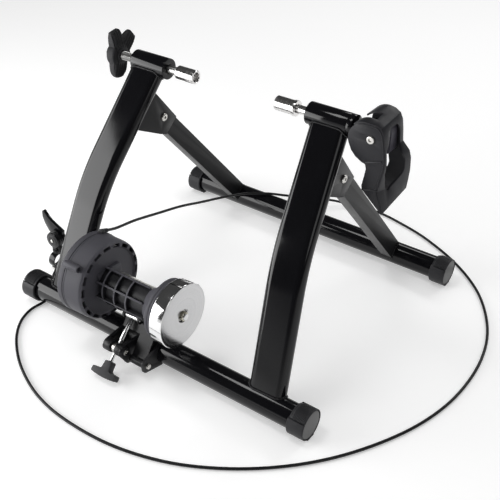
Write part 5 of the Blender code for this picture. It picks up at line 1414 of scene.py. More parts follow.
def build_clevis():
    roof = arc((0, 0), 0.0164, 92, 148, 20) + arc((0, 0), 0.0232, 151, 163, 6)
    roof += [(-0.0345, 0.0078), (-0.0345, 0.0055), (-0.0100, 0.0055), (-0.0040, 0.0100)]
    half = HOOD_NOTCH / 2 - 0.0006
    roof = slab((roof,), "Y", AXLE.x - half, AXLE.x + half, (CAM_PIN_X, AXLE.y), 0.0006)
    clevis = refined(
        "pivot_block", "clevis", "clevis_grey", "frame", 0.0007, extras=(roof,)
    )
    second_finish(clevis, "black_paint", painted_black)


def build_right_clamp():
    build_right_rod()
    build_clevis()
    refined("cam_lobe", "cam", "light_zinc", "cam_lever", 0.0004)
    low = LEVER_NEAR - GAP
    high = LEVER_FAR + GAP
    head = 0.0022
    profile = (
        (0, high + head), (CAM_HEAD_R, high + head), (CAM_HEAD_R, high), (CAM_PIN_R, high),
        (CAM_PIN_R, low), (CAM_HEAD_R, low), (CAM_HEAD_R - 0.0008, low - head), (0, low - head),
    )
    pin = turned(eased(profile, 0.0005), (CAM_PIN_X, 0, AXLE.y), (0, 1, 0), SMALL)
    socket = slab((hexagon(0.0028),), "Y", low - 0.004, low - 0.0006, (CAM_PIN_X, AXLE.y))
    finished(carved(pin, socket), "lever_pin", "bright_steel", "cam_lever", ("cam_pin",))


def lever_rails():
    """The lever's outer edge on its two cheeks, from the hood's back over the top and down: (X, Z)."""
    near = arc(LEVER_ROUND[:2], LEVER_ROUND[2], 132, 84, 12) + list(NEAR_EDGE)
    far = arc(LEVER_FAR_ROUND[:2], LEVER_FAR_ROUND[2], 140, 86, 12) + list(FAR_EDGE)
    return near, far


def bent_sheet(near, far, near_y, far_y, thickness):
    """A sheet between two unlike edges, thickened inward."""
    rows, count = 5, len(near)
    points = []
    for row in range(rows + 1):
        share = row / rows
        y = near_y + (far_y - near_y) * share
        for (x1, z1), (x2, z2) in zip(near, far):
            points.append((x1 + (x2 - x1) * share, y, z1 + (z2 - z1) * share))
    faces = []
    for low in range(0, rows * count, count):
        faces += [(low + k, low + k + 1, low + count + k + 1, low + count + k) for k in range(count - 1)]
    mesh = bpy.data.meshes.new("piece")
    mesh.from_pydata(points, [], faces)
    obj = linked("piece", mesh)
    shell = obj.modifiers.new("shell", "SOLIDIFY")
    shell.thickness = thickness
    shell.offset = 1
    shell.use_even_offset = True
    return baked(obj)


def drawn_in(rail, share):
    """An edge of the lever moved towards the middle of its round top."""
    middle = Vector(LEVER_ROUND[:2])
    return [middle + (Vector(point) - middle) * share for point in rail]


def lever_ridges(rail):
    """The moulded bars across the near cheek, and the bead along its edge."""
    ridges = []
    face_y = LEVER_NEAR + 0.0003
    for (x1, z1), (x2, z2), radius in LEVER_BARS:
        start, end = Vector((x1, face_y, z1)), Vector((x2, face_y, z2))
        ridges.append(pin_along(radius, start, end, 20, 0.0005))
    rim = [Vector((point.x, LEVER_NEAR + 0.0002, point.y)) for point in drawn_in(rail[4:-1], 0.97)]
    ridges.append(tube_along(smoothed(rim, 4), 0.0011, 12))
    return ridges


def build_cam_lever():
    """A forked lever: two cheeks, a hood over the clevis, a finger plate, and its moulded ridges."""
    near, far = lever_rails()
    pin_hole = circle((CAM_PIN_X, AXLE.y), CAM_PIN_R + GAP)
    near_outline = arc(LEVER_ROUND[:2], LEVER_ROUND[2], 198, 84, 30) + [*NEAR_EDGE, *NEAR_BACK]
    far_outline = arc(LEVER_FAR_ROUND[:2], LEVER_FAR_ROUND[2], 198, 86, 30) + [*FAR_EDGE, *FAR_BACK]
    lever = slab((near_outline, pin_hole), "Y", LEVER_NEAR, LEVER_NEAR + LEVER_CHEEK)
    far_cheek = slab((far_outline, pin_hole), "Y", LEVER_FAR - LEVER_CHEEK, LEVER_FAR)
    inset = 0.0005
    rails = [drawn_in(rail, 0.985) for rail in (near, far)]
    sheet = bent_sheet(*rails, LEVER_NEAR + inset, LEVER_FAR - inset, LEVER_SHELL)
    sheet = carved(sheet, slab((rounded(LEVER_WINDOW, 0.0030, 4),), "X", 0.2395, 0.2800))
    notch = block(
        (0.190, AXLE.x - HOOD_NOTCH / 2, AXLE.y + 0.006),
        (CAM_PIN_X - 0.001, AXLE.x + HOOD_NOTCH / 2, AXLE.y + 0.040),
    )
    sheet = carved(sheet, notch)
    lever = softened(joined(lever, far_cheek, sheet), 0.0010, 2, 30)
    lever = gathered(lever, *lever_ridges(near))
    finished(lever, "lever", "lever_plastic", "cam_lever", ("cam_lever",), smooth=40)


def build_back_shell():
    """The drum's rear shell, with screws in recesses round its face."""
    seat = BEARING_R + GAP
    hole = seat - 0.0025
    rim_x = DRUM_SPLIT_X - GAP
    face = DRUM_BACK_X
    floor_x = face + DRUM_WALL
    profile = (
        (DRUM_R, rim_x), (DRUM_R, face + 0.0025), (DRUM_R - 0.0025, face),
        (0.0440, face), (0.0432, face + 0.0010), (0.0300, face + 0.0010), (0.0292, face),
        (hole, face), (hole, LEFT_BEARING_X - GAP), (seat, LEFT_BEARING_X - GAP), (seat, rim_x),
        (seat + DRUM_WALL, rim_x), (seat + DRUM_WALL, floor_x),
        (DRUM_R - DRUM_WALL, floor_x), (DRUM_R - DRUM_WALL, rim_x),
    )
    shell = around_x(profile, UNIT, 192, 0.0006)
    turns = [math.radians(30 + 360 * k / BACK_SCREWS) for k in range(BACK_SCREWS)]
    spots = [UNIT + Vector((math.cos(turn), math.sin(turn))) * SCREW_CIRCLE_R for turn in turns]
    recesses = [rod(0.0042, face - 0.002, face + 0.0014, spot, 32, 0) for spot in spots]
    finished(carved(shell, *recesses), "drum_back", "housing_plastic", "unit", ("housing_back_shell",))
    heads = []
    for spot in spots:
        head = rod(0.0032, face + 0.0004, face + 0.0018, spot, 32, 0.0003)
        socket = slab((hexagon(0.0014),), "X", face - 0.001, face + 0.0012, spot)
        heads.append(carved(head, socket))
    finished(gathered(*heads), "drum_screws", "bright_steel", "unit")


def drum_vents():
    """Cutters for the slots round the drum's face."""
    values = {
        "Count": sizes().vents,
        "Radius": VENT_R,
        "Size": (VENT_WIDTH, VENT_LENGTH, 0.012),
        "Material": material_named("housing_plastic"),
    }
    vents = softened(grown(studs_tree(), values), 0.0012, 3)
    onto_x = Matrix(((0, 0, 1), (1, 0, 0), (0, 1, 0))).to_4x4()
    half_step = Matrix.Rotation(math.pi / sizes().vents, 4, "Z")
    place = Matrix.Translation((DRUM_FRONT_X - 0.002, *UNIT))
    vents.data.transform(place @ onto_x @ half_step)
    return vents


def drum_post(outer_r):
    """The bored post beside the drum and the web that carries it, and the cutter for its bore."""
    turn = math.radians(POST_ANGLE)
    out = Vector((math.cos(turn), math.sin(turn)))
    on = Vector((-out.y, out.x))
    spot = UNIT + out * POST_OUT
    inner = out * (outer_r - DRUM_WALL / 2)
    outer = out * POST_OUT
    outline = [inner + on * 0.0045, inner - on * 0.0045, outer - on * 0.0035, outer + on * 0.0035]
    start = DRUM_SPLIT_X + 0.0002
    web = slab((outline,), "X", start, DRUM_FRONT_X - 0.012, UNIT, 0.0006)
    post = rod(POST_R, start, POST_END_X, spot, 56, 0.0007)
    bore = rod(POST_R - 0.0019, POST_END_X - 0.010, POST_END_X + 0.002, spot, 40, 0)
    return web, post, bore


def build_front_shell():
    outer_r = DRUM_R - DRUM_LIP
    inner_r = outer_r - DRUM_WALL
    lip_r = outer_r + 0.0006
    shaft_r = SHAFT_R + 0.001
    front, split = DRUM_FRONT_X, DRUM_SPLIT_X
    dish_x = front - DISH_DEPTH
    magnet_seat = SWING_MAGNET_X - 0.001
    profile = (
        (HUB_R, HUB_X), (HUB_R, dish_x), (DISH_R, dish_x), (DISH_R + 0.0025, front),
        (outer_r - 0.0035, front - 0.0005), (outer_r - 0.0008, front - 0.0045), (outer_r, front - 0.0100),
        (outer_r, split + 0.0030), (lip_r, split + 0.0026), (lip_r, split + 0.0006),
        (outer_r - 0.0004, split), (inner_r, split), (inner_r, front - 0.0060),
        (outer_r - 0.0055, front - 0.0032), (DISH_R + 0.0030, front - 0.0032),
        (DISH_R - 0.0010, dish_x - DRUM_WALL), (HUB_R, dish_x - DRUM_WALL), (HUB_R, magnet_seat),
        (shaft_r, magnet_seat), (shaft_r, HUB_X),
    )
    shell = carved(around_x(profile, UNIT, 220, 0.0006), drum_vents())
    web, post, bore = drum_post(outer_r)
    shell = carved(joined(shell, web, post), bore)
    finished(shell, "drum_front", "housing_plastic", "unit", ("housing_front_shell",))


def screw_bores(low, high):
    """Cutters for the two screws between the yoke and its bracket."""
    hole = circle((0, 0), YOKE_SCREW_R + GAP)
    return [slab((hole,), "Z", low, high, (x, YOKE_SCREW_Y)) for x in YOKE_SCREWS_X]


def yoke_lattice():
    """The rails along the yoke's near wall and the ribs that cross them."""
    half = math.degrees(YOKE_RIB / 2 / YOKE_R)
    inner = YOKE_BORE_R + 0.001
    bars = []
    for turn in YOKE_RAILS:
        outline = sector(YOKE_RAIL_R, inner, turn - half, turn + half, 4)
        bars.append(slab((outline,), "X", YOKE_SPAN[0], YOKE_SPAN[1] - 0.001, UNIT, 0.0004))
    outline = sector(YOKE_RAIL_R - 0.0004, inner, YOKE_RAILS[0] - half / 2, YOKE_RAILS[-1] + half / 2, 48)
    for x in YOKE_RIBS:
        bars.append(slab((outline,), "X", x - YOKE_RIB / 2, x + YOKE_RIB / 2, UNIT, 0.0004))
    return bars


def yoke_cone():
    """The open cone that widens from the wall to the flange."""
    start, end = YOKE_ARC
    low, high = CONE_SPAN
    thin = YOKE_R - YOKE_BORE_R
    profile = (
        (FLANGE_R - 0.0015, high), (YOKE_R - 0.0005, low),
        (YOKE_R - thin + 0.0005, low), (FLANGE_R - 0.0015 - thin * 1.4, high),
    )
    cone = around_x(profile, UNIT, FINE, 0)
    open_side = [(0, 0)] + arc((0, 0), 0.060, end - 361.5, start + 1.5, 32)
    return carved(cone, slab((open_side,), "X", low - 0.004, high + 0.004, UNIT))


def yoke_flange():
    """The grooved round flange with the right bearing's seat."""
    seat = BEARING_R + GAP
    low, high = FLANGE_SPAN
    seat_x = RIGHT_BEARING_X - GAP
    groove_r, shaft_r = FLANGE_R - 0.0007, SHAFT_R + 0.002
    profile = (
        (FLANGE_R - 0.001, high), (FLANGE_R, high - 0.001), (FLANGE_R, high - 0.0034),
        (groove_r, high - 0.0040), (groove_r, high - 0.0048), (FLANGE_R, high - 0.0054), (FLANGE_R, low),
        (shaft_r, low), (shaft_r, seat_x), (seat, seat_x), (seat, high),
    )
    return around_x(profile, UNIT, FINE, 0.0004)


def outside_painted_shade(spot, _normal):
    """Picks the yoke's two ends and the outer faces of its lattice, which take the drum's grey; the rest of
    the yoke keeps a darker finish, painted shade in its pockets.
    """
    reach = (Vector((spot.y, spot.z)) - UNIT).length
    at_end = spot.x > YOKE_SPAN[1] - 0.004 or spot.x < YOKE_SPAN[0] + 0.0012
    return at_end or (reach > YOKE_R + 0.0030 and spot.z > PAD_Z[1])


def build_yoke():
    """The moulded body round the roller, its near wall a lattice of ribs with pockets between."""
    skin = sector(YOKE_R - 0.0012, YOKE_BORE_R, *YOKE_ARC, 54)
    wall = slab((skin,), "X", *YOKE_SPAN, UNIT, 0.0004)
    bars = yoke_lattice()
    side = YOKE_PLATE_HALF
    outline = rounded(((-side, -side), (side, -side), (side, side), (-side, side)), 0.006, 8)
    hole = circle((0, 0), HUB_R + 2 * GAP, ROUND)
    plate_x = DRUM_FRONT_X - DISH_DEPTH + GAP
    plate = slab((outline, hole), "X", plate_x, YOKE_SPAN[0] + 0.001, UNIT, 0.0005)
    pad_low = (PAD_SPAN[0], PAD_FRONT_Y, PAD_Z[0])
    pad = block(pad_low, (PAD_SPAN[1], PAD_Y[1], PAD_Z[1]), 0.0006)
    yoke = joined(wall, plate, yoke_cone(), yoke_flange(), pad, *bars)
    yoke = carved(yoke, *screw_bores(PAD_Z[0] - 0.002, PAD_Z[1] - 0.001))
    finished(yoke, "roller_yoke", "yoke_plastic", "unit", ("yoke",), smooth=30)
    # The rest of the yoke, its wall and the sides of its ribs, keeps the dark finish as painted shade in the
    # pockets.
    second_finish(yoke, "housing_plastic", outside_painted_shade)


def build_roller():
    bore = SHAFT_R + GAP
    low, high = ROLLER_SPAN
    profile = (
        (ROLLER_R - 0.0008, high), (ROLLER_R, high - 0.0008), (ROLLER_R, low + 0.0008),
        (ROLLER_R - 0.0008, low), (bore, low), (bore, high),
    )
    tube = around_x(profile, UNIT, FINE, 0.0003)
    finished(tube, "roller_tube", "roller_steel", "spindle", ("roller",))
    shaft = rod(SHAFT_R, *SHAFT_SPAN, UNIT, ROUND, 0.0006)
    finished(shaft, "through_shaft", "chrome", "spindle", ("roller_shaft",))


def build_flywheel():
    """A heavy turned disc: its face brushed, its rim polished, and a recess for the nut."""
    bore = SHAFT_R + GAP
    low, high = FLYWHEEL_SPAN
    floor_x = high - FLYWHEEL_RECESS
    edge = 0.0009
    profile = (
        (FLYWHEEL_R - edge, high), (FLYWHEEL_R, high - edge), (FLYWHEEL_R, low + edge),
        (FLYWHEEL_R - edge, low), (0.0180, low), (0.0172, low + 0.0015), (bore, low + 0.0015),
        (bore, floor_x), (FLYWHEEL_RECESS_R, floor_x), (FLYWHEEL_RECESS_R, high - 0.0008),
        (FLYWHEEL_RECESS_R + 0.0008, high),
    )
    wheel = around_x(profile, UNIT, 160, 0.0004)
    finished(wheel, "flywheel_disc", "flywheel_chrome", "spindle", ("flywheel",))

    def brushed(spot, normal):
        return abs(normal.x) > 0.9 and math.hypot(spot.y - UNIT.x, spot.z - UNIT.y) < FLYWHEEL_R - edge

    second_finish(wheel, "flywheel_face", brushed)
    washer_x = floor_x + GAP
    washer = ring(WASHER_R, bore, washer_x, washer_x + WASHER, UNIT, 56, 0.0003)
    finished(washer, "flywheel_ring", "zinc", "spindle", ("flywheel_washer",))
    nut_x = washer_x + WASHER + GAP
    hex_nut = nut(NUT_R - 0.0014, bore, nut_x, nut_x + 0.006, UNIT)
    finished(hex_nut, "flywheel_hexagon", "yellow_zinc", "spindle", ("flywheel_nut",))


def bolt_point(distance):
    spot = CROSS_PIN + BOLT_AXIS * distance
    return Vector((BOLT_PLANE_X, spot.x, spot.y))


def build_cross_pin():
    pin = rod(CROSS_PIN_R, FORK_SPAN[0] - 0.0005, FORK_SPAN[1] + 0.0005, CROSS_PIN, 48, 0.0006)
    bore = pin_along(TENSION_SPIGOT_R + GAP, bolt_point(-0.010), bolt_point(0.010), 24, 0)
    finished(carved(pin, bore), "swivel_pin", "chrome", "cross_pin", ("cross_pin",))


def build_trunnion():
    """The threaded cross bar. Its middle shows between the bosses of the two ears that carry it."""
    low = LEFT_EAR_X + EAR_PLATE + EAR_BOSS
    high = MIDDLE_EAR_X - EAR_BOSS
    end = MIDDLE_EAR_X + EAR_PLATE + 0.003
    profile = (
        (0, end - 0.0030), (0.0026, end - 0.0030), (0.0026, end), (TRUNNION_PIN_R, end),
        (TRUNNION_PIN_R, high), (TRUNNION_R, high), (TRUNNION_R, low), (TRUNNION_PIN_R, low),
        (TRUNNION_PIN_R, LEFT_EAR_X - 0.0015), (0, LEFT_EAR_X - 0.0015),
    )
    body = around_x(profile, TRUNNION, 56, 0.0005)
    ends = bolt_point(BOLT_SPAN - 0.012), bolt_point(BOLT_SPAN + 0.012)
    bore = pin_along(TENSION_ROD_R + GAP, *ends, 32, 0)
    finished(carved(body, bore), "bolt_trunnion", "bright_steel", "trunnion", ("trunnion",))


def build_tension_rod():
    along = Vector((0, *BOLT_AXIS))
    shank_r = TENSION_ROD_R + 0.0006
    profile = (
        (0, ROD_END), (TENSION_ROD_R, ROD_END), (TENSION_ROD_R, BOLT_SPAN - 0.0125),
        (shank_r, BOLT_SPAN - 0.0135), (shank_r, CROSS_PIN_R + GAP), (TENSION_SPIGOT_R, CROSS_PIN_R + GAP),
        (TENSION_SPIGOT_R, -CROSS_PIN_R + 0.0005), (0, -CROSS_PIN_R + 0.0005),
    )
    shaft = turned(eased(profile, 0.0003), bolt_point(0), along, 32)
    radius, pitch, depth = TENSION_THREAD
    thread = threaded_rod(radius, pitch, depth, BOLT_SPAN + 0.004, ROD_END, (0, 0), 28, 6)
    turn = Vector((1, 0, 0)).rotation_difference(along).to_matrix().to_4x4()
    thread.data.transform(Matrix.Translation(bolt_point(0)) @ turn)
    bolt = gathered(shaft, thread)
    finished(bolt, "tension_bolt", "chrome", "tension_screw", ("tension_rod",), smooth=25)


def handle_outline():
    """The T-handle seen flat: a narrow hub that swells into a bar with a curved outer edge."""
    length, _width, depth = TENSION_BAR
    low, high, half = HUB_LENGTH, HUB_LENGTH + depth, length / 2
    right = [(0.0050, 0.0), (0.0058, 0.0012), (0.0068, low - 0.0026), (0.0100, low - 0.0004)]
    right += [(half - 0.0008, low), (half, low + 0.0020), (half, high - 0.0018)]
    left = [(-x, z) for x, z in reversed(right)]
    shares = [half - length * k / 16 for k in range(1, 16)]
    return left[1:] + right + [(x, high - 0.0018 * abs(x / half) ** 2) for x in shares] + left[:1]


def build_tension_knob():
    along = Vector((0, *BOLT_AXIS))
    across = Vector((1, 0, 0))
    turned_in = Matrix((across, along.cross(across).normalized(), along)).transposed().to_4x4()
    half = TENSION_BAR[1] / 2
    handle = slab((rounded(handle_outline(), 0.0013, 3),), "Z", -half, half)
    handle.data.transform(Matrix(((1, 0, 0), (0, 0, -1), (0, 1, 0))).to_4x4())
    handle = softened(handle, 0.0009, 3, 40)
    handle.data.transform(Matrix.Translation(bolt_point(BOLT_SPAN + HUB_START)) @ turned_in)
    ends = bolt_point(BOLT_SPAN + HUB_START - 0.005), bolt_point(ROD_END + GAP)
    handle = carved(handle, pin_along(TENSION_ROD_R + 0.0004, *ends, 32, 0))
    finished(handle, "tension_handle", "cap_plastic", "tension_screw", ("tension_knob",), smooth=40)


def build_swing_bracket():
    """Sleeve on the unit's pin, leaning plate, top plate under the yoke, and a fork for the swivel pin."""
    flange_top = PAD_Z[0] - GAP
    flange_low = flange_top - SWING_PLATE
    sleeve_low = MIDDLE_EAR_X + EAR_PLATE + 0.0035
    sleeve_high = RIGHT_EAR_X - 0.0005
    sleeve = ring(SLEEVE_R, PIVOT_R + GAP, sleeve_low, sleeve_high, PIVOT, SMALL, 0.0003)
    top = Vector((SWING_TOP_Y, flange_low + SWING_PLATE / 2))
    along = (top - PIVOT).normalized()
    square = Vector((along.y, -along.x)) * SWING_PLATE / 2
    start = PIVOT + along * (PIVOT_R + 0.001)
    outline = (start + square, top + square, top - square, start - square)
    plate = slab((outline,), "X", FORK_SPAN[0] + 0.0005, sleeve_high - 0.0005)
    notch_low = (FORK_SPAN[0] - 0.01, -0.1, 0)
    plate = carved(plate, block(notch_low, (sleeve_low + 0.0005, 0.1, SWING_NOTCH_Z)))
    front_y = PAD_FRONT_Y + 0.0035
    flange_low_corner = (FORK_SPAN[0] - 0.002, front_y, flange_low)
    flange = block(flange_low_corner, (PAD_SPAN[1], PAD_Y[1], flange_top))
    ear = [(SWING_TOP_Y, flange_low + 0.001), (CROSS_PIN.x + 0.002, flange_low + 0.001)]
    ear += arc(CROSS_PIN, FORK_R, 110, 300, 20)
    ear += [(SWING_TOP_Y - 0.006, CROSS_PIN.y - 0.006), (SWING_TOP_Y, CROSS_PIN.y)]
    hole = circle(CROSS_PIN, CROSS_PIN_R + 0.0005)
    spans = [(low, low + FORK_EAR) for low in (FORK_SPAN[0], FORK_SPAN[1] - FORK_EAR)]
    ears = [slab((ear, hole), "X", *span) for span in spans]
    bracket = joined(sleeve, plate, flange, *ears)
    bores = screw_bores(flange_low - 0.002, flange_top + 0.002)
    bracket = softened(carved(bracket, *bores), sizes().edge, 2, 30)
    finished(bracket, "swing_plate", "satin_black", "unit", ("swing_bracket",), smooth=40)


def build_unit_frame():
    """The fixed ears with their bosses round the trunnion, the swinging bracket, and the pin between them."""
    left_face, right_face = LEFT_EAR_X + EAR_PLATE, MIDDLE_EAR_X + EAR_PLATE
    spans = (
        (left_face - 0.0005, left_face + EAR_BOSS - 0.0004),
        (MIDDLE_EAR_X - EAR_BOSS + 0.0004, MIDDLE_EAR_X + 0.0005),
    )
    bore = TRUNNION_PIN_R + GAP
    bosses = [ring(EAR_BOSS_R, bore, *span, TRUNNION, ROUND, 0.0007) for span in spans]
    rim = ring(0.0062, 0.0050, right_face - 0.0005, right_face + 0.0023, TRUNNION, SMALL, 0.0004)
    refined(
        "unit_bracket", "bolt_bracket", "satin_black", "frame", sizes().edge, smooth=40,
        extras=(*bosses, rim),
    )
    build_swing_bracket()
    low, high = MIDDLE_EAR_X - 0.0025, RIGHT_EAR_X + EAR_PLATE + 0.003
    groove_r = PIVOT_R - 0.0005
    profile = (
        (0, high), (PIVOT_R - 0.0002, high), (PIVOT_R, high - 0.0004), (PIVOT_R, high - 0.0013),
        (groove_r, high - 0.0015), (groove_r, high - 0.0021), (PIVOT_R, high - 0.0023),
        (PIVOT_R, low), (0, low),
    )
    pin = around_x(profile, PIVOT, SMALL, 0.0002)
    finished(pin, "unit_pin", "bright_steel", "frame", ("pivot_pin",))


def build_yoke_screws():
    head_top = PAD_Z[0] - SWING_PLATE - 2 * GAP
    head_low = head_top - 0.0035
    head_r = 0.0045
    profile = (
        (0, PAD_Z[1] - 0.002), (YOKE_SCREW_R, PAD_Z[1] - 0.002), (YOKE_SCREW_R, head_top),
        (head_r, head_top), (head_r, head_low), (0, head_low),
    )
    for side, x in zip(("left", "right"), YOKE_SCREWS_X):
        screw = turned(eased(profile, 0.0004), (x, YOKE_SCREW_Y, 0), (0, 0, 1), 36)
        span = (head_top - 0.005, head_top - 0.0013)
        socket = slab((hexagon(0.0023),), "Z", *span, (x, YOKE_SCREW_Y))
        node = f"{side}_yoke_screw"
        finished(carved(screw, socket), f"{side}_cap_screw", "bright_steel", "unit", (node,))


def build_cable_gland():
    """A tapered, ribbed sleeve on the drum's rim, from which the cable leaves."""
    along = (Vector(CABLE_ROUTE[0]) - CABLE_START).normalized()
    start = CABLE_START - along * GAP - along * GLAND_LENGTH
    profile = [(0, GLAND_LENGTH), (0.0031, GLAND_LENGTH)]
    for k in range(GLAND_RIBS):
        top = GLAND_LENGTH - 0.0012 - k * 0.0017
        swell = 0.0032 + k * 0.00014
        groove = swell - 0.0005
        profile += [(swell, top), (swell, top - 0.0009), (groove, top - 0.0011), (groove, top - 0.0016)]
    profile += [(GLAND_R - 0.0007, GLAND_LENGTH - 0.0100), (GLAND_R - 0.0003, 0), (0, 0)]
    gland = turned(eased(profile, 0.0002), start, along, 40)
    seat = rod(DRUM_R + GAP, DRUM_BACK_X - 0.02, DRUM_FRONT_X, UNIT, 192, 0)
    finished(carved(gland, seat), "cable_sleeve", "cap_plastic", "unit", ("cable_gland",), smooth=30)


def shifter_disc(x, y, z):
    """The ringed disc at the shifter's middle."""
    rim, groove = SHIFTER_R, SHIFTER_R - 0.0014
    profile = (
        (0, 0.0070), (0.0085, 0.0070), (0.0092, 0.0058), (0.0140, 0.0054),
        (rim, 0.0046), (rim, 0.0026), (groove, 0.0022), (groove, 0.0008),
        (rim, 0.0004), (rim, -0.0018), (groove, -0.0022), (groove, -0.0036),
        (0.0146, -0.0040), (0.0138, -0.0060), (0.0100, -0.0064), (0.0092, -0.0070),
        (0.0040, -0.0070), (0.0034, -0.0058), (0, -0.0058),
    )
    return turned(eased(profile, 0.0004), (x, y, z), (0, 1, 0), 72)


def cable_adjuster(y):
    """The knurled barrel where the cable enters the shifter, and its knurls."""
    radius = ADJUSTER_R
    profile = (
        (0, 0.0170), (0.0030, 0.0170), (0.0030, 0.0110), (radius, 0.0108), (radius, 0.0012),
        (0.0029, 0), (0, 0),
    )
    base = Vector((ADJUSTER_X, y, ADJUSTER_END_Z))
    adjuster = turned(eased(profile, 0.0003), base, (0, 0, 1), 32)
    values = {
        "Count": 16,
        "Radius": radius,
        "Size": (0.0010, 0.0008, 0.0086),
        "Material": material_named("black_paint"),
    }
    knurls = grown(studs_tree(), values)
    knurls.data.transform(Matrix.Translation((ADJUSTER_X, y, ADJUSTER_END_Z + 0.0060)))
    return adjuster, knurls


def build_shifter():
    x, y, z = SHIFTER
    disc = shifter_disc(x, y, z)
    top = CLAMP_Z + CLAMP_R
    neck = block((x - 0.0050, y - 0.0048, top - 0.0005), (x + 0.0045, y + 0.0048, z - 0.008), 0.0010)
    profile = eased(((0, 0.004), (0.0068, 0.004), (0.0068, 0), (0, 0)), 0.0008)
    waist = turned(profile, (x, y, top + 0.0045), (0, 0, 1), 40)
    adjuster, knurls = cable_adjuster(y)
    arm = block((x, y - 0.0035, z - 0.0055), (ADJUSTER_X + 0.0036, y + 0.0035, z + 0.0020), 0.0010)
    body = gathered(disc, neck, waist, adjuster, arm, knurls)
    finished(body, "shifter_housing", "black_paint", "frame", ("shifter_body",))
    profile = ((0, -0.0060), (0.0030, -0.0060), (0.0032, -0.0074), (0.0024, -0.0082), (0, -0.0084))
    screw = turned(eased(profile, 0.0002), (x, y, z), (0, 1, 0), 32)
    finished(screw, "shifter_screw", "bright_steel", "frame")
    refined("shifter_clamp", "handlebar_clamp", "black_paint", "frame", 0.0006)
    refined("shifter_lever", "thumb_lever", "black_paint", "shifter_lever", 0.0008)
    refined("shifter_clamp_screw", "clamp_bolt", "bright_steel", "frame", 0.0002)


def smoothed(points, steps):
    """Points read from a smooth curve through the given ones."""
    ends = [points[0] * 2 - points[1], *points, points[-1] * 2 - points[-2]]
    found = []
    for k in range(1, len(points)):
        before, start, end, after = ends[k - 1 : k + 3]
        for step in range(steps):
            t = step / steps
            square = 2 * before - 5 * start + 4 * end - after
            cube = 3 * start - before - 3 * end + after
            found.append(0.5 * (2 * start + (end - before) * t + square * t**2 + cube * t**3))
    found.append(points[-1])
    return found


def tube_along(points, radius, steps=14):
    """A round tube with closed ends, its rings turned as little as possible from one to the next."""
    sections = []
    side = None
    for k, spot in enumerate(points):
        along = (points[min(k + 1, len(points) - 1)] - points[max(k - 1, 0)]).normalized()
        if side is None:
            side = along.orthogonal().normalized()
        side = (side - along * side.dot(along)).normalized()
        other = along.cross(side)
        sections.append([spot + (side * x + other * y) for x, y in circle((0, 0), radius, steps)])
    return swept(sections)


def cable_line():
    route = [Vector(CABLE_START), *[Vector(point) for point in CABLE_ROUTE]]
    route.append(Vector((ADJUSTER_X, SHIFTER.y, ADJUSTER_END_Z - 2 * GAP)))
    points = smoothed(route, 6)
    for point in points:
        point.z = max(point.z, sizes().cable / 2 + 0.00005)
    return points


def build_cable():
    points = cable_line()
    cable = tube_along(points, sizes().cable / 2)
    cable.name = "shifter_cable"
    mesh = cable.data
    mesh.transform(Matrix.Translation(ORIGIN))
    mesh.materials.append(material_named("cable_jacket"))
    mesh.shade_smooth()
    mesh.set_sharp_from_angle(angle=math.radians(50))
    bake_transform(cable)
    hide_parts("cable")


def finish_hidden_parts():
    """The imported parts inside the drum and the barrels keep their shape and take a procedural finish."""
    for node, material in HIDDEN.items():
        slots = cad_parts[node].data.materials
        for k in range(len(slots)):
            slots[k] = material_named(material)
        if not slots:
            slots.append(material_named(material))


def make_camera():
    camera = bpy.data.cameras.new("camera")
    camera.lens = CAMERA_LENS
    camera.sensor_width = 36.0
    camera.shift_x, camera.shift_y = CAMERA_SHIFT
    camera.clip_start = 0.05
    camera.clip_end = 50.0
    obj = linked("camera", camera)
    azimuth, elevation = math.radians(CAMERA_AZIMUTH), math.radians(CAMERA_ELEVATION)
    obj.location = CAMERA_PLACE
    obj.rotation_euler = (math.pi / 2 - elevation, 0, azimuth)
    bpy.context.scene.camera = obj


def softbox(name, place, aim, size, power):
    lamp = bpy.data.lights.new(name, "AREA")
    lamp.shape = "RECTANGLE"
    lamp.size, lamp.size_y = size
    lamp.energy = power
    obj = linked(name, lamp)
    obj.location = place
    obj.rotation_euler = (Vector(aim) - Vector(place)).to_track_quat("-Z", "Y").to_euler()


def make_floor():
    """A pale floor that shows the object's shadow on a white ground."""
    work = bmesh.new()
    bmesh.ops.create_grid(work, x_segments=24, y_segments=24, size=4.0)
    floor = from_work(work)
    floor.name = "floor"
    material = bpy.data.materials.new("pale_floor")
    material.use_nodes = True
    tree = material.node_tree
    shader = tree.nodes["Principled BSDF"]
    where = add_node(tree, "ShaderNodeTexCoord").outputs["Object"]
    skin = use_group(tree, grain_group(), {"Vector": where, "Scale": 60.0, "Drift": 1.5})
    pale = colours().floor
    base = tinted(tree, skin.outputs["Tone"], shade(pale, 0.985), shade(pale, 1.01))
    tree.links.new(base, shader.inputs["Base Color"])
    shader.inputs["Roughness"].default_value = 0.65
    shader.inputs["Specular IOR Level"].default_value = 0.25
    seen = add_node(tree, "ShaderNodeLightPath")
    shown = maths(tree, "MAXIMUM", seen.outputs["Is Camera Ray"], seen.outputs["Is Glossy Ray"])
    shader.inputs["Emission Color"].default_value = (1.0, 1.0, 1.0, 1.0)
    tree.links.new(maths(tree, "MULTIPLY", shown, FLOOR_GLOW), shader.inputs["Emission Strength"])
    floor.data.materials.append(material)
    floor.location.z = -0.0004


def mixed_shader(tree, share, one, two):
    made = add_node(tree, "ShaderNodeMixShader", {0: share})
    tree.links.new(one, made.inputs[1])
    tree.links.new(two, made.inputs[2])
    return made.outputs["Shader"]


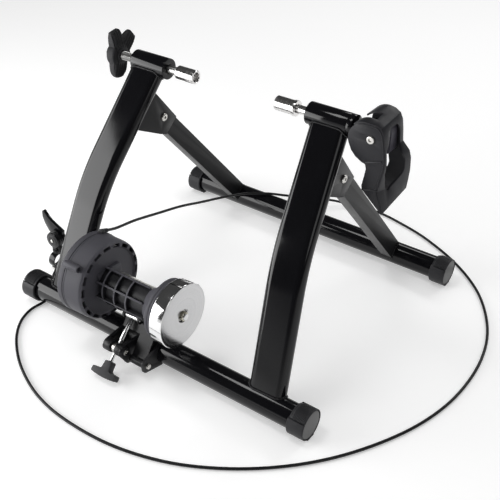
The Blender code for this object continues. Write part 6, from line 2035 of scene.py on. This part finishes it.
def make_world():
    """White to the camera. A mirror sees a white ground and a dark ceiling; the rest is a plain dome."""
    world = bpy.data.worlds.new("studio")
    world.use_nodes = True
    tree = world.node_tree
    tree.nodes.clear()
    where = add_node(tree, "ShaderNodeTexCoord").outputs["Generated"]
    height = add_node(tree, "ShaderNodeSeparateXYZ", {"Vector": where}).outputs["Z"]
    level = ranged(tree, height, (-0.05, 0.12), (0.9, 0.05), interpolation_type="SMOOTHSTEP")
    white, dome, ceiling = (
        add_node(tree, "ShaderNodeBackground", {"Color": (1, 1, 1, 1), "Strength": strength}).outputs[0]
        for strength in (1.0, DOME_LEVEL, level)
    )
    seen = add_node(tree, "ShaderNodeLightPath")
    mirrored = mixed_shader(tree, seen.outputs["Is Glossy Ray"], dome, ceiling)
    shown = mixed_shader(tree, seen.outputs["Is Camera Ray"], mirrored, white)
    leave = add_node(tree, "ShaderNodeOutputWorld")
    tree.links.new(shown, leave.inputs["Surface"])
    bpy.context.scene.world = world


class TrainerCable(Operator):
    """Lay the camera's view and the shifter's cable"""

    bl_idname = "trainer.cable"
    bl_label = "Cable"

    def execute(self, context):
        make_camera()
        build_cable()
        return {"FINISHED"}


class TrainerCrossbars(Operator):
    """Build the two floor tubes"""

    bl_idname = "trainer.crossbars"
    bl_label = "Crossbars"

    def execute(self, context):
        build_crossbar("main_crossbar", MAIN_AXIS, "frame")
        build_crossbar("rear_crossbar", REAR_AXIS, "rear_frame")
        return {"FINISHED"}


class TrainerFeet(Operator):
    """Build the four caps on the crossbars' ends"""

    bl_idname = "trainer.feet"
    bl_label = "Foot caps"

    def execute(self, context):
        for side in SIDES:
            build_foot(f"main_{side_name(side)}_foot", side, MAIN_AXIS, "frame")
            build_foot(f"rear_{side_name(side)}_foot", side, REAR_AXIS, "rear_frame")
        return {"FINISHED"}


class TrainerUprights(Operator):
    """Build the two bent uprights with their welds"""

    bl_idname = "trainer.uprights"
    bl_label = "Uprights"

    def execute(self, context):
        for side in SIDES:
            build_upright(side)
        return {"FINISHED"}


class TrainerBarrels(Operator):
    """Build the clamp barrels on top of the uprights"""

    bl_idname = "trainer.barrels"
    bl_label = "Clamp barrels"

    def execute(self, context):
        for side in SIDES:
            build_barrel(side)
        return {"FINISHED"}


class TrainerRearArms(Operator):
    """Build the two folding arms"""

    bl_idname = "trainer.rear_arms"
    bl_label = "Rear arms"

    def execute(self, context):
        for side in SIDES:
            build_rear_arm(side)
        return {"FINISHED"}


class TrainerHinges(Operator):
    """Build the hinge plates, bolts and nuts of the folding arms"""

    bl_idname = "trainer.hinges"
    bl_label = "Fold hinges"

    def execute(self, context):
        for side in SIDES:
            build_hinge(side)
        return {"FINISHED"}


class TrainerScrewClamp(Operator):
    """Build the left clamp: threaded screw, axle cup and wing knob"""

    bl_idname = "trainer.screw_clamp"
    bl_label = "Screw clamp"

    def execute(self, context):
        build_left_screw()
        build_left_cup()
        build_wing_knob()
        return {"FINISHED"}


class TrainerCamClamp(Operator):
    """Build the right clamp: sliding rod, axle cup, clevis and cam"""

    bl_idname = "trainer.cam_clamp"
    bl_label = "Cam clamp"

    def execute(self, context):
        build_right_clamp()
        return {"FINISHED"}


class TrainerCamLever(Operator):
    """Build the cam lever"""

    bl_idname = "trainer.cam_lever"
    bl_label = "Cam lever"

    def execute(self, context):
        build_cam_lever()
        return {"FINISHED"}


class TrainerDrum(Operator):
    """Build the two shells of the brake drum"""

    bl_idname = "trainer.drum"
    bl_label = "Brake drum"

    def execute(self, context):
        build_back_shell()
        build_front_shell()
        return {"FINISHED"}


class TrainerYoke(Operator):
    """Build the moulded body round the roller"""

    bl_idname = "trainer.yoke"
    bl_label = "Roller yoke"

    def execute(self, context):
        build_yoke()
        build_yoke_screws()
        return {"FINISHED"}


class TrainerRoller(Operator):
    """Build the roller and its through shaft"""

    bl_idname = "trainer.roller"
    bl_label = "Roller"

    def execute(self, context):
        build_roller()
        return {"FINISHED"}


class TrainerFlywheel(Operator):
    """Build the flywheel with its washer and nut"""

    bl_idname = "trainer.flywheel"
    bl_label = "Flywheel"

    def execute(self, context):
        build_flywheel()
        return {"FINISHED"}


class TrainerUnitBrackets(Operator):
    """Build the fixed ears, the swinging bracket and the pin between them"""

    bl_idname = "trainer.unit_brackets"
    bl_label = "Unit brackets"

    def execute(self, context):
        build_unit_frame()
        return {"FINISHED"}


class TrainerTensionBolt(Operator):
    """Build the tension bolt with its swivel pin, trunnion and T-handle"""

    bl_idname = "trainer.tension_bolt"
    bl_label = "Tension bolt"

    def execute(self, context):
        build_cross_pin()
        build_trunnion()
        build_tension_rod()
        build_tension_knob()
        return {"FINISHED"}


class TrainerCableSleeve(Operator):
    """Build the sleeve where the cable leaves the drum"""

    bl_idname = "trainer.cable_sleeve"
    bl_label = "Cable sleeve"

    def execute(self, context):
        build_cable_gland()
        return {"FINISHED"}


class TrainerShifter(Operator):
    """Build the thumb shifter on its handlebar clamp"""

    bl_idname = "trainer.shifter"
    bl_label = "Shifter"

    def execute(self, context):
        build_shifter()
        return {"FINISHED"}


class TrainerInnerParts(Operator):
    """Finish the bearings, bushes, spring, magnets and disc inside the trainer"""

    bl_idname = "trainer.inner_parts"
    bl_label = "Inner parts"

    def execute(self, context):
        finish_hidden_parts()
        return {"FINISHED"}


class TrainerStage(Operator):
    """Set the floor, the studio light and the plain background"""

    bl_idname = "trainer.stage"
    bl_label = "Stage"

    def execute(self, context):
        make_floor()
        make_world()
        for name, lamp in LAMPS.items():
            softbox(name, *lamp)
        context.scene.view_settings.view_transform = "Standard"
        return {"FINISHED"}


OPERATORS = (
    TrainerCable,
    TrainerCrossbars,
    TrainerFeet,
    TrainerUprights,
    TrainerBarrels,
    TrainerRearArms,
    TrainerHinges,
    TrainerScrewClamp,
    TrainerCamClamp,
    TrainerCamLever,
    TrainerDrum,
    TrainerYoke,
    TrainerRoller,
    TrainerFlywheel,
    TrainerUnitBrackets,
    TrainerTensionBolt,
    TrainerCableSleeve,
    TrainerShifter,
    TrainerInnerParts,
    TrainerStage,
)


class TrainerPanel(Panel):
    """Lists the trainer's pieces, sizes and colours"""

    bl_idname = "VIEW3D_PT_trainer"
    bl_label = "Bike Trainer"
    bl_space_type = "VIEW_3D"
    bl_region_type = "UI"
    bl_category = "Trainer"

    def draw(self, context):
        layout = self.layout
        for group in (context.scene.trainer_sizes, context.scene.trainer_colours):
            for name in type(group).__annotations__:
                layout.prop(group, name)
        for operator in OPERATORS:
            layout.operator(operator.bl_idname)


CLASSES = (TrainerSizes, TrainerColours, *OPERATORS, TrainerPanel)


def register():
    for each in CLASSES:
        bpy.utils.register_class(each)
    bpy.types.Scene.trainer_sizes = PointerProperty(type=TrainerSizes)
    bpy.types.Scene.trainer_colours = PointerProperty(type=TrainerColours)


def unregister():
    del bpy.types.Scene.trainer_colours
    del bpy.types.Scene.trainer_sizes
    for each in reversed(CLASSES):
        bpy.utils.unregister_class(each)


def main():
    register()
    for operator in OPERATORS:
        getattr(bpy.ops.trainer, operator.bl_idname.split(".")[1])()


if __name__ == "__main__":
    main()
